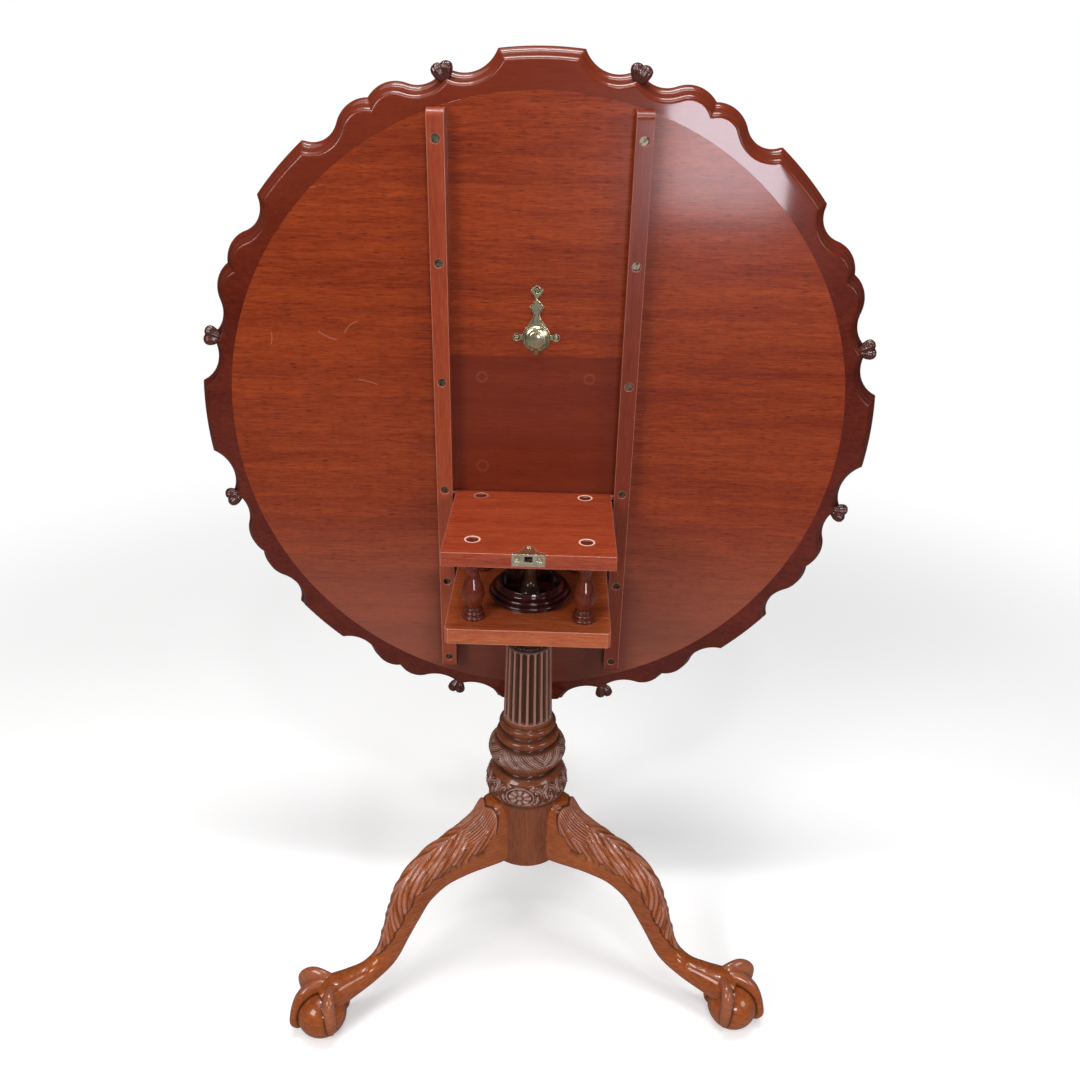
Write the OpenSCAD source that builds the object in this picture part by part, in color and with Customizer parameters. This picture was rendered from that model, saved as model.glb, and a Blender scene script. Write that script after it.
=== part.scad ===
// Birdcage tilt-top tea table with a piecrust edge, shown with the top tilted upright.
// Origin on the floor under the pillar's axis, +Z up, +Y away from the tilted top's underside.

/* [Tabletop] */
// Radius of the tongues of the scalloped edge
tongue_r = 431; // [415:1:450]
// Width of the solid rim, from the veneered board to the tongues
rim_w = 43; // [42:0.5:55]
// Thickness of the veneered board
board_t = 18; // [14:1:20]
// Height of the rim's crest above the underside
rim_h = 28; // [26:1:34]
// How far the underside's arris stands in from the widest line
arris_inset = 12; // [9:1:14]
// Turn of the rim's joints from the middle of the tongues, in degrees
rim_joint_turn = 5; // [1:0.5:5]
// Length of a carved bud on the rim
bud_len = 25; // [20:1:28]
// Radius of a carved bud
bud_r = 7.5; // [5:0.5:9]

/* [Scalloped outline] */
// Direction of the cove beside a cardinal tongue, in degrees
cove1_a = 10.9; // [10.5:0.1:11.3]
// Depth of that cove below the tongues
cove1_depth = 19; // [16:0.5:20]
// Radius of that cove
cove1_r = 41; // [38:0.5:44]
// Direction of the cove before the lobes
cove2_a = 18; // [17.7:0.1:18.3]
// Depth of that cove
cove2_depth = 18; // [16:0.5:19]
// Direction of the first lobe
lobe1_a = 24.6; // [24.3:0.1:24.9]
// Direction of the second lobe
lobe2_a = 30; // [29.7:0.1:30.3]
// Depth of both lobes' crests below the tongues
lobe_drop = 0.8; // [0:0.1:2]
// Radius of both lobes
lobe_r = 40; // [37:1:42]
// Direction of the cove beside a diagonal tongue
cove3_a = 35.9; // [35.6:0.1:36.2]
// Depth of that cove
cove3_depth = 15.4; // [14.5:0.1:17]

/* [Battens] */
// Width of a batten
batten_w = 20; // [18:1:26]
// Thickness of a batten
batten_t = 20; // [19:1:26]
// Gap between a batten and the upper block
batten_gap = 3.5; // [0.5:0.5:5]
// Gap between a batten's upper end and the board's edge
batten_top_gap = 0.5; // [0:0.5:15]
// Gap between a batten's lower end and the board's edge
batten_bottom_gap = 17; // [8:0.5:30]
// Radius of the rounded ends of a batten
batten_nose = 10; // [4:1:14]
// Radius of a batten screw's head
screw_head_r = 5.1; // [3.5:0.1:5.6]
// Radius of a batten screw's shank
screw_shank_r = 2.1; // [1.5:0.1:2.5]
// Depth of a batten screw in the board
screw_bite = 10; // [6:1:12]

/* [Cage] */
// Height of the cage's top face above the floor
cage_top = 707; // [680:1:740]
// Width of the upper block
block_w = 203; // [180:1:230]
// Depth of the upper block
block_d = 190; // [178:1:210]
// Thickness of the upper block
block_t = 17.9; // [17:0.1:22]
// Height of the gap between the two blocks
cage_gap = 87.4; // [80:0.5:110]
// Width of the lower block
lower_w = 201; // [178:1:228]
// Depth of the lower block
lower_d = 180; // [170:1:200]
// Thickness of the lower block
lower_t = 20.4; // [16:0.1:26]
// Distance of the balusters from the middle, sideways
baluster_x = 67.5; // [64:0.5:72]
// Distance of the balusters from the middle, front to back
baluster_y = 66; // [62:0.5:67]
// How far the balusters stand behind the middle of the cage
baluster_back = 8; // [0:0.5:9]
// Radius of a baluster's foot ring
baluster_r = 15; // [13:0.5:17]
// Radius of a baluster's tenons
tenon_r = 7.5; // [6:0.1:9]
// Radius of the pintles that the top turns on
pintle_r = 4.4; // [3.5:0.1:4.6]
// Depth of the pintles' axis below the upper block's top and in from its back
pintle_drop = 5.2; // [5:0.1:6.5]

/* [Pillar] */
// Height of the pillar's foot above the floor
pillar_foot = 188; // [172:1:200]
// Radius of the plain pedestal between the legs
pedestal_r = 54; // [50:0.5:58]
// Largest radius of the carved cup
cup_r = 58; // [55:0.5:64]
// Largest radius of the carved cushion
cushion_r = 53.5; // [48:0.5:58]
// Radius of the fluted shaft at its foot
shaft_r = 33; // [30:0.5:36]
// Radius of the fluted shaft at its top
shaft_top_r = 30; // [27:0.5:33]
// Height of the fluted shaft's top above the floor
shaft_top = 531; // [515:1:550]
// Number of flutes
flutes = 20; // [16:1:24]
// Radius of a flute
flute_r = 3.5; // [2:0.1:4]
// Radius of the spindle that the cage turns on
spindle_r = 19; // [16:0.5:24]
// Radius of the spindle's top pivot
pivot_r = 10; // [7:0.5:12]
// Depth of the pivot in the upper block
pivot_len = 12; // [8:1:14]

/* [Collar] */
// Radius of the turned collar
collar_r = 53; // [44:0.5:54]
// Radius of the collar's upper rim
collar_rim_r = 41; // [36:0.5:42]
// Height of the collar
collar_h = 23.5; // [20:0.5:28]
// Height of the collar's narrower foot
collar_foot_h = 4.6; // [3:0.1:6]
// Width of the wedge that holds the collar down
wedge_w = 9; // [6:0.5:12]

/* [Tripod] */
// Turn of the tripod under the cage, in degrees
base_turn = 4.2; // [-30:0.1:30]
// Distance of the feet's middles from the pillar's axis
foot_out = 332; // [320:1:380]
// Radius of a foot's ball
ball_r = 34; // [32:0.5:38]
// Depth of the flat under a ball
ball_flat = 1; // [0.5:0.1:2]
// Width of a leg at the pillar
leg_w = 46; // [40:1:50]
// Height of a leg where it meets the pillar
leg_root_h = 108; // [96:1:112]
// Radius of a claw
claw_r = 6.5; // [5:0.5:8]
// Width of a leg's dovetail at its neck
dovetail_w = 14; // [10:1:20]

/* [Catch] */
// Height of the catch's screw above the middle of the top
catch_up = 174; // [168:1:182]
// Height of the catch's ears above the middle of the top
catch_ear_up = 117.5; // [114:0.5:120]
// Distance of the ears from the middle
catch_ear_x = 24; // [22:0.5:28]
// Radius of the pear-shaped shield
shield_r = 16.5; // [14:0.5:18]
// Width of the bolt's nose
nose_w = 6; // [5:0.2:8.8]
// Height of the bolt's nose
nose_h = 4; // [3:0.5:5]
// Travel of the bolt
bolt_travel = 4.5; // [3:0.5:5]
// Width of the strike plate
strike_w = 38; // [30:1:44]
// Thickness of the brass sheet
brass_t = 1.5; // [1:0.1:2]

/* [Hidden] */
$fn = 48;

// Fits and gaps
glue_gap = 0.05;
running_fit = 0.08;
seat_gap = 0.2;
panel_gap = 0.3;
side_gap = 0.5;
slack = 0.1;
cut = 1;

// Heights of the cage and its pieces
upper_bottom = cage_top - block_t;
lower_top = upper_bottom - cage_gap;
lower_bottom = lower_top - lower_t;

// The top turns about the pintles near the block's upper back edge, and lowers to be centred on the pillar
hinge_y = block_d / 2 - pintle_drop;
hinge_z = cage_top - pintle_drop;
panel_y = block_d / 2 + panel_gap;
disc_z = hinge_z + hinge_y;

// Batten places, and the heights of the screws in each batten above the middle of the top
batten_x = block_w / 2 + batten_gap + batten_w / 2;
batten_chord = sqrt(pow(tongue_r - rim_w, 2) - batten_x * batten_x);
batten_up = batten_chord - batten_top_gap;
batten_down = batten_chord - batten_bottom_gap;
screw_end_gap = 31;
screw_low_gap = 18;
screw_high = batten_up - screw_end_gap;
screw_span = screw_high + batten_down - screw_low_gap;
batten_screw_up = [for (f = [0, 0.197, 0.408, 0.62, 0.82, 1]) screw_high - screw_span * f];

// A pintle ends short of the batten's screws
pintle_wall = 1.4;
pintle_len = batten_gap + batten_w / 2 - screw_shank_r - pintle_wall;
screw_head_depth = 5;
screw_head_cone = 2.4;
slot_w = 1;
slot_depth = 1;

// Mahogany and brass
wood = [0.45, 0.17, 0.08];
wood_light = [0.55, 0.25, 0.1];
wood_dark = [0.16, 0.06, 0.05];
brass = [0.78, 0.68, 0.35];
steel = [0.35, 0.33, 0.3];

// ---- scalloped outline -------------------------------------------------------------

panel_r = tongue_r - rim_w;
lobe_c = tongue_r - lobe_drop - lobe_r;

// Radius of a cove that meets a lobe without a corner
function tangent_r(cove_a, depth, lobe_a) =
    let (floor_r = tongue_r - depth,
        side = lobe_c * sin(lobe_a - cove_a),
        rise = floor_r - lobe_c * cos(lobe_a - cove_a))
    (side * side + rise * rise - lobe_r * lobe_r) / (2 * (lobe_r - rise));

cove2_r = tangent_r(cove2_a, cove2_depth, lobe1_a);
cove3_r = tangent_r(cove3_a, cove3_depth, lobe2_a);
cove1_c = tongue_r - cove1_depth + cove1_r;
cove2_c = tongue_r - cove2_depth + cove2_r;
cove3_c = tongue_r - cove3_depth + cove3_r;

function polar(a, r) = [r * cos(a), r * sin(a)];

// Where a ray from the middle enters or leaves a circle that stands at angle c_a, distance c
function ray_in(a, c_a, c, r) =
    let (q = r * r - pow(c * sin(a - c_a), 2))
    q > 0 ? c * cos(a - c_a) - sqrt(q) : 2 * tongue_r;
function ray_out(a, c_a, c, r) =
    let (q = r * r - pow(c * sin(a - c_a), 2))
    q > 0 ? c * cos(a - c_a) + sqrt(q) : 0;

// Angle at which a lobe, inset by d, meets its cove
function meet_a(lobe_a, cove_a, cove_c, d) =
    let (l = polar(lobe_a, lobe_c),
        v = polar(cove_a, cove_c) - l,
        p = l + v / norm(v) * (lobe_r - d))
    atan2(p.y, p.x);

// Any angle folded into the eighth that holds the outline's one pattern
function fold(a) = let (b = ((a % 90) + 90) % 90) b > 45 ? 90 - b : b;

// Radius of the outline, inset by d, at angle a
function edge_r(a, d) =
    let (o = fold(a))
    o < meet_a(lobe1_a, cove2_a, cove2_c, d)
        ? min(tongue_r - d, ray_in(o, cove1_a, cove1_c, cove1_r + d), ray_in(o, cove2_a, cove2_c, cove2_r + d))
    : o < meet_a(lobe2_a, cove3_a, cove3_c, d)
        ? max(ray_out(o, lobe1_a, lobe_c, lobe_r - d), ray_out(o, lobe2_a, lobe_c, lobe_r - d))
    : min(tongue_r - d, ray_in(o, cove3_a, cove3_c, cove3_r + d));

// Angles of the outline's corners within the eighth
corner_a = [6.4, 14.6, 27.3, 39.5];
rim_step = 1.3;
segment_a = 45;

// Direction of the cusp that carries the buds, and how far each bud leans from it
bud_a = 15;
bud_splay = 17;
bud_reach = 26;
bud_drop = 1;

// Section of the rim: inset from the widest line, height above the underside
widest_h = 22;
rim_section = [
    [arris_inset + 2.5, 0], [arris_inset, 1.6], [7, 12], [5, 16], [1.2, 18],
    [0, widest_h], [1.8, rim_h - 1.4], [6, rim_h], [10.5, rim_h - 2],
    [14, board_t + 3.6], [21, board_t]];

// Splits each stretch between two neighbouring angles into even steps
function spread(stops) = [
    for (i = [0:len(stops) - 2])
        let (n = ceil((stops[i + 1] - stops[i]) / rim_step))
        for (j = [0:n - 1]) stops[i] + (stops[i + 1] - stops[i]) * j / n,
    stops[len(stops) - 1]];

function segment_angles(k) =
    let (start = k * segment_a + rim_joint_turn,
        first = k * segment_a,
        odd = k % 2 == 1,
        keys = [for (i = [0:3]) odd ? first + segment_a - corner_a[3 - i] : first + corner_a[i]])
    spread(concat([start], keys, [start + segment_a]));

function rim_ring(a) = concat(
    [[panel_r + glue_gap, 0]],
    [for (p = rim_section) [edge_r(a, p.x), p.y]],
    [[panel_r + glue_gap, board_t]]);

// Sets what is drawn with +Z out of the underside on the tilted top
module on_top() {
    translate([0, panel_y, disc_z])
        rotate([90, 0, 0])
            children();
}

// One bud of the carved pair on a cusp of the rim, swelling outwards from its point
module bud(lean) {
    beads = [[0, 1.2], [bud_len * 0.25, bud_r * 0.55], [bud_len * 0.48, bud_r * 0.88],
        [bud_len - bud_r, bud_r], [bud_len - bud_r * 0.4, bud_r * 0.62]];
    rotate([0, 0, bud_a])
        translate([tongue_r - bud_reach, 0, -bud_r - bud_drop])
            rotate([0, 0, lean])
                for (i = [0:3])
                    hull()
                        for (p = [beads[i], beads[i + 1]])
                            translate([p.x, 0, 0])
                                sphere(r = p.y, $fn = 12);
}

module leaf_pair(k) {
    odd = k % 2 == 1;
    turn = odd ? (k + 1) * segment_a : k * segment_a;
    rotate([0, 0, turn])
        mirror([0, odd ? 1 : 0, 0]) {
            bud(bud_splay);
            bud(-bud_splay);
        }
}

module rim_segment(k) {
    angles = segment_angles(k);
    rings = [for (a = angles) rim_ring(a)];
    m = len(rings[0]);
    n = len(angles);
    points = [for (i = [0:n - 1]) for (q = rings[i]) [q.x * cos(angles[i]), q.x * sin(angles[i]), -q.y]];
    sides = [for (i = [0:n - 2]) for (j = [0:m - 1])
        let (a = i * m + j, b = i * m + (j + 1) % m)
        each [[a, a + m, b + m], [a, b + m, b]]];
    start_cap = [for (j = [0:m - 1]) j];
    end_cap = [for (j = [m - 1:-1:0]) (n - 1) * m + j];
    color(wood)
        on_top()
            union() {
                polyhedron(points, concat(sides, [start_cap, end_cap]));
                leaf_pair(k);
            }
}

module batten_holes() {
    for (side = [-1, 1], up = batten_screw_up)
        translate([side * batten_x, up, -screw_bite])
            cylinder(r = screw_shank_r + slack, h = screw_bite + batten_t + cut);
}

module catch_holes() {
    for (p = catch_screw_places)
        translate([p.x, p.y, -catch_screw_len])
            cylinder(r = catch_screw_r + slack, h = catch_screw_len + cut);
}

module top_board() {
    color(wood)
        on_top()
            difference() {
                translate([0, 0, -board_t])
                    cylinder(r = panel_r, h = board_t, $fn = 180);
                batten_holes();
                catch_holes();
            }
}

// Side view of a batten, with both outer ends rounded
module batten_side() {
    hull() {
        for (y = [-batten_down + batten_nose, batten_up - batten_nose])
            translate([y, batten_t - batten_nose])
                circle(r = batten_nose);
        translate([-batten_down, 0])
            square([batten_up + batten_down, cut]);
    }
}

module batten(side) {
    color(wood)
        on_top()
            difference() {
                translate([side * batten_x - batten_w / 2, 0, 0])
                    rotate([90, 0, 90])
                        linear_extrude(batten_w)
                            batten_side();
                batten_holes();
                for (up = batten_screw_up)
                    translate([side * batten_x, up, batten_t - screw_head_depth]) {
                        cylinder(r = screw_head_r + slack, h = screw_head_depth + cut);
                        translate([0, 0, -screw_head_cone])
                            cylinder(r1 = screw_shank_r + slack, r2 = screw_head_r + slack,
                                h = screw_head_cone);
                    }
                translate([side * block_w / 2, hinge_z - disc_z, panel_y - hinge_y])
                    rotate([0, side * 90, 0])
                        cylinder(r = pintle_r + running_fit, h = pintle_len + side_gap);
            }
}

// A slotted countersunk screw with its head's face at the origin, pointing down
module wood_screw(head_r, shank_r, cone, len) {
    difference() {
        union() {
            translate([0, 0, -cone])
                cylinder(r1 = shank_r, r2 = head_r, h = cone, $fn = 24);
            translate([0, 0, -len])
                cylinder(r = shank_r, h = len - cone, $fn = 24);
        }
        translate([-head_r - cut, -slot_w / 2, -slot_depth])
            cube([2 * (head_r + cut), slot_w, slot_depth + cut]);
    }
}

module batten_screws() {
    color(steel)
        on_top()
            for (side = [-1, 1], i = [0:len(batten_screw_up) - 1])
                translate([side * batten_x, batten_screw_up[i], batten_t - screw_head_depth])
                    rotate([0, 0, 35 + 50 * i * side])
                        wood_screw(screw_head_r, screw_shank_r, screw_head_cone,
                            batten_t - screw_head_depth + screw_bite - 0.5);
}

// ---- cage --------------------------------------------------------------------------

module block_pattern() {
    for (x = [-baluster_x, baluster_x], y = [-baluster_y, baluster_y])
        translate([x, y + baluster_back, 0])
            children();
}

// Upper block: flat, with its upper back edge rounded about the pintles
module upper_block() {
    front = -block_d / 2;
    color(wood_light)
        difference() {
            union() {
                rotate([90, 0, 90])
                    linear_extrude(block_w, center = true)
                        union() {
                            translate([front, upper_bottom])
                                square([hinge_y - front, block_t]);
                            translate([hinge_y, upper_bottom])
                                square([pintle_drop, block_t - pintle_drop]);
                            translate([hinge_y, hinge_z])
                                circle(r = pintle_drop, $fn = 64);
                        }
                translate([0, hinge_y, hinge_z])
                    rotate([0, 90, 0])
                        cylinder(r = pintle_r, h = block_w + 2 * pintle_len, center = true);
            }
            block_pattern()
                translate([0, 0, upper_bottom - cut])
                    cylinder(r = tenon_r + glue_gap, h = block_t + 2 * cut);
            translate([0, 0, upper_bottom - cut])
                cylinder(r = pivot_r + running_fit, h = pivot_len + seat_gap + cut);
            // pocket that the catch's bolt enters, behind the strike plate
            translate([-strike_hole_w / 2, front - cut, strike_hole_z - strike_hole_h / 2])
                cube([strike_hole_w, cut + 6, strike_hole_h]);
            // shallow seats for the strike plate's two flanges
            translate([-strike_w / 2 - slack, front - cut, cage_top - strike_drop - slack])
                cube([strike_w + 2 * slack, cut + brass_t, strike_drop + cut]);
            translate([0, front, cage_top - brass_t])
                linear_extrude(brass_t + cut)
                    strike_top_outline(slack);
            strike_screw_places()
                translate([0, 0, -strike_screw_len])
                    cylinder(r = strike_screw_r + slack, h = strike_screw_len + cut, $fn = 24);
        }
}

module lower_block() {
    corner = 4;
    color(wood_light)
        difference() {
            translate([0, 0, lower_bottom])
                linear_extrude(lower_t)
                    polygon([
                        [-lower_w / 2 + corner, -lower_d / 2], [lower_w / 2 - corner, -lower_d / 2],
                        [lower_w / 2, -lower_d / 2 + corner], [lower_w / 2, lower_d / 2],
                        [-lower_w / 2, lower_d / 2], [-lower_w / 2, -lower_d / 2 + corner]]);
            block_pattern()
                translate([0, 0, lower_top - tenon_len])
                    cylinder(r = tenon_r + glue_gap, h = tenon_len + cut);
            translate([0, 0, lower_bottom - cut])
                cylinder(r = spindle_r + running_fit, h = lower_t + 2 * cut);
        }
}

tenon_len = 14;

// Turned baluster: foot rings, vase, neck and cap, with a tenon at each end
module baluster_shape() {
    h = cage_gap - 2 * seat_gap;
    vase = [[0.6, 16], [0.72, 20], [0.86, 27], [0.925, 34], [0.87, 41], [0.7, 49], [0.54, 56],
        [0.485, 61], [0.53, 65], [0.64, 68]];
    translate([0, 0, lower_top + seat_gap])
        rotate_extrude($fn = 48)
            polygon(concat(
                [[0, -tenon_len], [tenon_r, -tenon_len], [tenon_r, 0], [baluster_r - 1.6, 0]],
                [for (t = [-60:30:60]) [baluster_r - 2.9 + 2.4 * cos(t), 2.6 + 2.4 * sin(t)]],
                [[baluster_r - 3.4, 5.4], [baluster_r - 3.4, 6.2]],
                [for (t = [-60:30:60]) [baluster_r - 4.4 + 2.2 * cos(t), 8.4 + 2.2 * sin(t)]],
                [[baluster_r - 5, 11], [baluster_r - 5, 11.8]],
                [for (t = [-60:30:60]) [baluster_r - 6 + 1.8 * cos(t), 13.6 + 1.6 * sin(t)]],
                [for (p = vase) [baluster_r * p.x, p.y * h / cage_gap]],
                [[baluster_r * 0.72, h - 16], [baluster_r * 0.72, h - 14.6], [baluster_r * 0.6, h - 13.4],
                    [baluster_r * 0.6, h - 7]],
                [for (t = [-60:30:60]) [baluster_r * 0.68 + 2.2 * cos(t), h - 3.4 + 2.2 * sin(t)]],
                [[baluster_r * 0.66, h], [tenon_r, h], [tenon_r, h + block_t - 0.3], [0, h + block_t - 0.3]]));
}

module baluster(x, y) {
    color(wood)
        translate([x, y + baluster_back, 0])
            baluster_shape();
}

// ---- pillar ------------------------------------------------------------------------

// Heights of the turnings, up from the cup's foot
cup_foot = 297;
cup_mid = 308;
waist_h = 341;
cushion_mid = 363;
ring2_h = 388;
ring1_h = 406;
flute_foot = 419;
flute_margin = 4;
flute_turn = 5;
shaft_cone = atan((shaft_r - shaft_top_r) / (shaft_top - flute_foot));

// Points of a round bead that stands out to radius r at height z
function bead(r, z, half) = [for (t = [-75:25:75]) [r - half + half * cos(t), z + half * sin(t)]];

module pillar_profile() {
    shoulder = lower_bottom - seat_gap;
    floor_z = lower_top + collar_floor + seat_gap;
    polygon(concat(
        [[0, pillar_foot], [pedestal_r, pillar_foot], [pedestal_r, cup_foot - 1], [cup_r - 3.5, cup_foot]],
        [for (t = [0:0.125:1]) [
            cup_r - 3.5 + 3.5 * sin(min(90, 360 * t)) - (cup_r - 44) * pow(t, 3),
            cup_foot + 1 + t * 38]],
        [[40.5, waist_h - 3.5], [39.5, waist_h], [41, waist_h + 4]],
        [for (t = [-70:20:70]) [cushion_r - 13 + 13 * cos(t), cushion_mid + 16 * sin(t)]],
        [[cushion_r - 13.5, cushion_mid + 17]],
        bead(shaft_r + 10, ring2_h, 6.2),
        [[shaft_r + 2, ring2_h + 7.4], [shaft_r + 0.6, ring2_h + 9.4], [shaft_r + 2, ring1_h - 6]],
        bead(shaft_r + 6, ring1_h, 5),
        [[shaft_r + 1.6, ring1_h + 6], [shaft_r + 0.4, ring1_h + 9], [shaft_r, flute_foot - 1],
            [shaft_top_r, shaft_top], [shaft_top_r - 4.5, shaft_top], [spindle_r + 3.5, shaft_top - 3]],
        [for (t = [0:0.2:1]) [spindle_r + 3 + 8 * t * t, shaft_top + 4 + t * (shoulder - shaft_top - 12)]],
        [[spindle_r + 11, shoulder], [spindle_r, shoulder], [spindle_r, floor_z + 10],
            [pivot_r + 3, floor_z + 18], [pivot_r, upper_bottom - 12], [pivot_r, upper_bottom + pivot_len],
            [0, upper_bottom + pivot_len]]));
}

module flute_cut() {
    len = shaft_top - flute_foot - 2 * flute_margin;
    translate([shaft_r, 0, flute_foot + flute_margin])
        rotate([0, -shaft_cone, 0]) {
            cylinder(r = flute_r, h = len, $fn = 24);
            sphere(r = flute_r, $fn = 24);
            translate([0, 0, len])
                sphere(r = flute_r, $fn = 24);
        }
}

// Dovetail that holds a leg in the pillar, open at the pillar's foot
dovetail_depth = 22;
dovetail_h = 88;
module dovetail(fit) {
    neck = dovetail_w / 2 + fit;
    tail = neck + 4;
    back = pedestal_r - dovetail_depth - fit;
    translate([0, 0, pillar_foot - fit * 4])
        linear_extrude(dovetail_h + fit * 8)
            polygon([[pedestal_r + leg_bed, neck], [pedestal_r - 2, neck], [back, tail],
                [back, -tail], [pedestal_r - 2, -neck], [pedestal_r + leg_bed, -neck]]);
}

leg_bed = 12;
leg_angles = [-150 + base_turn, -30 + base_turn, 90 + base_turn];

module pillar() {
    color(wood_light)
        difference() {
            rotate_extrude($fn = 96)
                pillar_profile();
            for (i = [0:flutes - 1])
                rotate([0, 0, base_turn + flute_turn + i * 360 / flutes])
                    flute_cut();
            for (a = leg_angles)
                rotate([0, 0, a])
                    dovetail(glue_gap);
            wedge_slot(slack);
        }
}

// ---- collar and wedge --------------------------------------------------------------

collar_floor = 9;
wedge_h = 8;
module collar() {
    step = (collar_r - collar_rim_r) / 3;
    foot = collar_foot_h + 0.2;
    color(wood_dark)
        translate([0, 0, lower_top + seat_gap])
            rotate_extrude($fn = 96)
                polygon(concat(
                    [[spindle_r + slack, 0], [collar_r - 6, 0], [collar_r - 6, collar_foot_h], [collar_r - 2, foot]],
                    [for (t = [-60:30:60]) [collar_r - 2 + 2 * cos(t), foot + 2.2 + 2 * sin(t)]],
                    [[collar_r - step, foot + 4.6]],
                    [for (t = [-50:25:50]) [collar_r - step - 2.4 + 3 * cos(t), foot + 7.6 + 3 * sin(t)]],
                    [[collar_rim_r + 2.2, foot + 11], [collar_rim_r + 0.6, foot + 13],
                        [collar_rim_r + 0.6, collar_h - 2.6]],
                    [for (t = [0:30:180]) [collar_rim_r - 1.6 + 1.6 * cos(t), collar_h - 1.6 + 1.6 * sin(t)]],
                    [[collar_rim_r - 7, collar_floor], [spindle_r + slack, collar_floor]]));
}

module wedge_slot(fit) {
    reach = collar_rim_r - 9 + fit * 10;
    translate([-reach, -wedge_w / 2 - fit, lower_top + seat_gap + collar_floor + (fit > 0 ? 0 : slack)])
        cube([2 * reach, wedge_w + 2 * fit, wedge_h + fit]);
}

// Tapered wedge through the spindle, resting on the collar's floor
module collar_wedge() {
    reach = collar_rim_r - 9;
    floor_z = lower_top + seat_gap + collar_floor + slack;
    color(wood_dark)
        translate([0, wedge_w / 2, floor_z])
            rotate([90, 0, 0])
                linear_extrude(wedge_w)
                    polygon([[-reach, 0], [reach, 0], [reach, wedge_h - 0.2], [-reach, wedge_h - 3]]);
}

// ---- legs --------------------------------------------------------------------------

ball_z = ball_r - ball_flat;

// Stations down a leg: distance from the axis, height, depth across the line, width, slope of the line
leg_stations = [
    [pedestal_r - 8, pillar_foot + 51, leg_root_h - 2, leg_w + 7, 0],
    [pedestal_r + 8, pillar_foot + 48, leg_root_h - 8, leg_w + 7, -3],
    [pedestal_r + 20, pillar_foot + 40, leg_root_h - 24, leg_w + 5, -6],
    [pedestal_r + 34, pillar_foot + 36, leg_root_h - 32, leg_w + 3, -9],
    [pedestal_r + 62, pillar_foot + 31, 66, leg_w, -12],
    [pedestal_r + 98, pillar_foot + 21, 58, leg_w - 2, -25],
    [pedestal_r + 129, pillar_foot - 3, 52, leg_w - 4, -48],
    [pedestal_r + 147, pillar_foot - 36, 45, leg_w - 8, -62],
    [pedestal_r + 161, pillar_foot - 68, 37, leg_w - 13, -66],
    [foot_out - 100, ball_z + 54, 32, leg_w - 17, -50],
    [foot_out - 75, ball_z + 37, 31, leg_w - 17, -22],
    [foot_out - 47, ball_z + 32, 38, leg_w - 11, -8],
    [foot_out - 19, ball_z + 30, 44, leg_w - 3, -6],
    [foot_out - 4, ball_z + 25, 36, leg_w - 12, -20]];

// Smooth curve through the stations
function blend(p0, p1, p2, p3, t) =
    0.5 * (2 * p1 + (p2 - p0) * t + (2 * p0 - 5 * p1 + 4 * p2 - p3) * t * t
        + (3 * p1 - p0 - 3 * p2 + p3) * t * t * t);
leg_last = len(leg_stations) - 1;
function station(i) = leg_stations[max(0, min(leg_last, i))];
function leg_at(u) =
    let (i = min(leg_last - 1, floor(u)))
    blend(station(i - 1), station(i), station(i + 1), station(i + 2), u - i);

// Rounded outer side and squarer inner side, in the plane square to the leg's line
function leg_section(d, w, lean) =
    let (n = 18)
    [for (k = [0:n - 1])
        let (t = (k + 0.5) * 360 / n, c = cos(t), e = sin(t),
            power = e > 0 ? 3.6 - 1.4 * lean : 6 - 3.2 * lean)
        [sign(c) * pow(abs(c), 2 / power) * w / 2, sign(e) * pow(abs(e), 2 / power) * d / 2]];

module leg_body() {
    steps = 32;
    rings = [for (i = [0:steps])
        let (u = i * leg_last / steps,
            s = leg_at(u),
            dir = [cos(s[4]), sin(s[4])])
        [for (q = leg_section(s[2], s[3], min(1, u / 10)))
            [s[0] - dir.y * q.y, q.x, s[1] + dir.x * q.y]]];
    m = len(rings[0]);
    points = [for (r = rings) each r];
    sides = [for (i = [0:steps - 1]) for (j = [0:m - 1])
        let (a = i * m + j, b = i * m + (j + 1) % m)
        each [[a, a + m, b + m], [a, b + m, b]]];
    polyhedron(points, concat(sides, [[for (j = [0:m - 1]) j], [for (j = [m - 1:-1:0]) steps * m + j]]));
}

// One claw over the ball: beads at an angle from the ball's top and a height over its surface
module claw(turn, start, end) {
    beads = [[start - 16, 18, claw_r], [start + 7, 15.5, claw_r + 1.5], [start + 30, 6.5, claw_r],
        [end - 8, 4.5, claw_r + 0.6], [end + 6, 2.5, 2]];
    rotate([0, 0, turn])
        for (i = [0:3])
            hull()
                for (p = [beads[i], beads[i + 1]])
                    translate([(ball_r + p.y) * sin(p.x), 0, (ball_r + p.y) * cos(p.x)])
                        sphere(r = p.z, $fn = 12);
}

module leg(i) {
    color(wood_light)
        rotate([0, 0, leg_angles[i]]) {
            difference() {
                union() {
                    leg_body();
                    translate([foot_out, 0, ball_z]) {
                        sphere(r = ball_r, $fn = 32);
                        claw(0, 26, 94);
                        claw(88, 26, 84);
                        claw(-88, 26, 84);
                        claw(180, 62, 106);
                    }
                }
                translate([foot_out - 2 * ball_r, -2 * ball_r, -2 * ball_r])
                    cube([4 * ball_r, 4 * ball_r, 2 * ball_r]);
                translate([0, 0, pillar_foot - leg_root_h])
                    cylinder(r = pedestal_r + glue_gap, h = 3 * leg_root_h, $fn = 96);
                translate([pedestal_r - leg_bed, -leg_w, pillar_foot - leg_root_h])
                    cube([leg_bed * 2, 2 * leg_w, leg_root_h]);
            }
            dovetail(0);
        }
}

// ---- strike plate ------------------------------------------------------------------

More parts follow.
